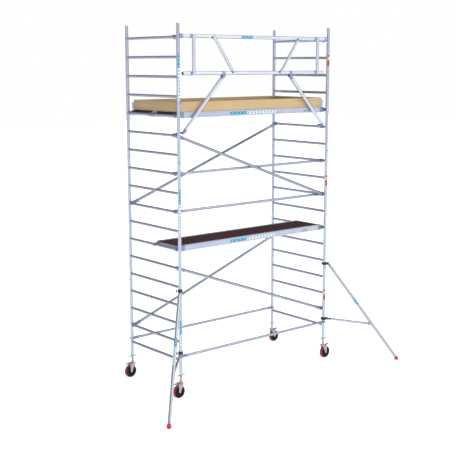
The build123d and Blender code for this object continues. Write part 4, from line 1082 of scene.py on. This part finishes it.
LABEL_FACING = (-0.65, -0.75, 0.1)
front_left = placed((-HALF_BAY, -HALF_FRAME, 0), -UP, -Y)
for top, ticks in ((5.12, 9), (3.16, 9), (1.195, 5)):
    block_and_ticks(front_left, POST_R, -top, 0.215, 0.022, ticks, 0.05)
front_right = placed((HALF_BAY, -HALF_FRAME, 0), -UP, -Y)
for top in (5.105, 3.146, 1.204):
    for start, stop, colour in ((0, 0.035, RED), (0.035, 0.05, PALE), (0.05, 0.085, YELLOW),
                                (0.085, 0.178, RED)):
        band(front_right, POST_R, start - top, stop - top, colour)
rail_at = placed((0, guard_y, guard_top), X, -Y)
block_and_ticks(rail_at, GUARD_R, -0.345, 0.235, 0.018, 9, 0.038)
for low_y, low_z in platform_labels:
    face = placed((0, low_y - 0.0004, low_z + 0.042), -Y, X)
    patches = [(CYAN, rectangle(0.33, 0.038, 0.002, -0.35), 0, 0.0012),
               (PALE, rectangle(0.6, 0.038, 0.002, 0.117), 0, 0.001),
               (BEIGE, rectangle(0.15, 0.036, 0.003, 1.295), 0, 0.001)]
    patches += [(PALE, rectangle(0.016, 0.012, 0.003, -0.47 + 0.08 * step), 0.0008,
                 0.0018) for step in range(4)]
    patches += [(TICK, rectangle(0.03, 0.025, 0.002, -0.15 + 0.066 * step), 0.0008,
                 0.0016) for step in range(9)]
    for colour, outline, under, over in patches:
        stickers.add(extrude(outline, under, over, 0.0003), colour, face)
stickers.made("tower", "aluminium_tube")
for side_name, side in SIDE.items():
    _, _, upper, run = outrigger_lines(side)
    marks = Piece(f"outrigger_{side_name}_labels")
    start, ticks = (0.725, 8) if side < 0 else (0.735, 0)
    at = placed(upper, run, LABEL_FACING)
    block_and_ticks(at, LEG_R, start, 0.14, 0.014, ticks, 0.032, marks)
    marks.made(f"outrigger_{side_name}", "aluminium_tube")


# Floor, light and camera
mesh = bpy.data.meshes.new("floor")
FLOOR_HALF = 60.0
mesh.from_pydata([(a * FLOOR_HALF, b * FLOOR_HALF, 0) for a, b in ((-1, -1), (1, -1), (1, 1), (-1, 1))], [],
                 [(0, 1, 2, 3)])
floor = bpy.data.objects.new("floor", mesh)
bpy.context.scene.collection.objects.link(floor)
ground_mat = bpy.data.materials.new("floor")
ground_mat.use_nodes = True
feed(ground_mat.node_tree, ground_mat.node_tree.nodes["Principled BSDF"], {
    "Base Color": (0.93, 0.93, 0.93, 1), "Roughness": 0.9, "Specular IOR Level": 0.0,
    "Emission Color": (*WHITE, 1), "Emission Strength": 0.62})
mesh.materials.append(ground_mat)
floor.location.z = -0.0005
floor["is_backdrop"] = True

# White to the camera; the metal reflects a grey lobe from the upper left and a dark ring
world = bpy.data.worlds.new("studio")
bpy.context.scene.world = world
world.use_nodes = True
tree = world.node_tree


def facing_amount(direction):
    """How far a ray points along a fixed direction, from -1 to 1."""
    ray = add_node(tree, "TexCoord", "Generated")
    return add_node(tree, "VectorMath", "Value", {0: ray, 1: Vector(direction).normalized()},
                    operation="DOT_PRODUCT")


lobe = ramp(tree, facing_amount((-0.8, 0.05, 0.6)), (0.6, WHITE), (0.98, (0.34, 0.36, 0.42)), ease="EASE")
RING_GREY = (0.14, 0.15, 0.19)
ring = ramp(tree, facing_amount((0.634, 0.754, -0.169)), (0.02, WHITE), (0.36, RING_GREY), (0.9, RING_GREY),
            (0.955, WHITE), ease="EASE")
seen = add_node(tree, "LightPath", "Is Camera Ray")
feed(tree, tree.nodes["Background"], {
    "Color": mix(tree, seen, mix(tree, 1.0, lobe, ring, "MULTIPLY"), (*WHITE, 1)), "Strength": 1.0})
sun = bpy.data.lights.new("key", "SUN")
sun.energy = 0.8
sun.angle = radians(40)
key = bpy.data.objects.new("key", sun)
bpy.context.scene.collection.objects.link(key)
key.rotation_mode = "QUATERNION"
key.rotation_quaternion = Vector((-0.45, 0.62, -0.75)).to_track_quat("-Z", "Y")

camera = bpy.data.cameras.new("camera")
camera.sensor_width, camera.lens = 36.0, 74.98
camera.clip_end = 200
eye = bpy.data.objects.new("camera", camera)
bpy.context.scene.collection.objects.link(eye)
right = Vector((0.765172, -0.643825, -0.000402))
up = Vector((0.109318, 0.129307, 0.98556))
forward = Vector((0.634477, 0.754168, -0.169324))
pose = Matrix((right, up, -forward)).transposed().to_4x4()
pose.translation = (-9.795, -11.562, 4.9515)
eye.matrix_world = pose
bpy.context.scene.camera = eye
bpy.context.scene.view_settings.view_transform = "Standard"

low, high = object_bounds()
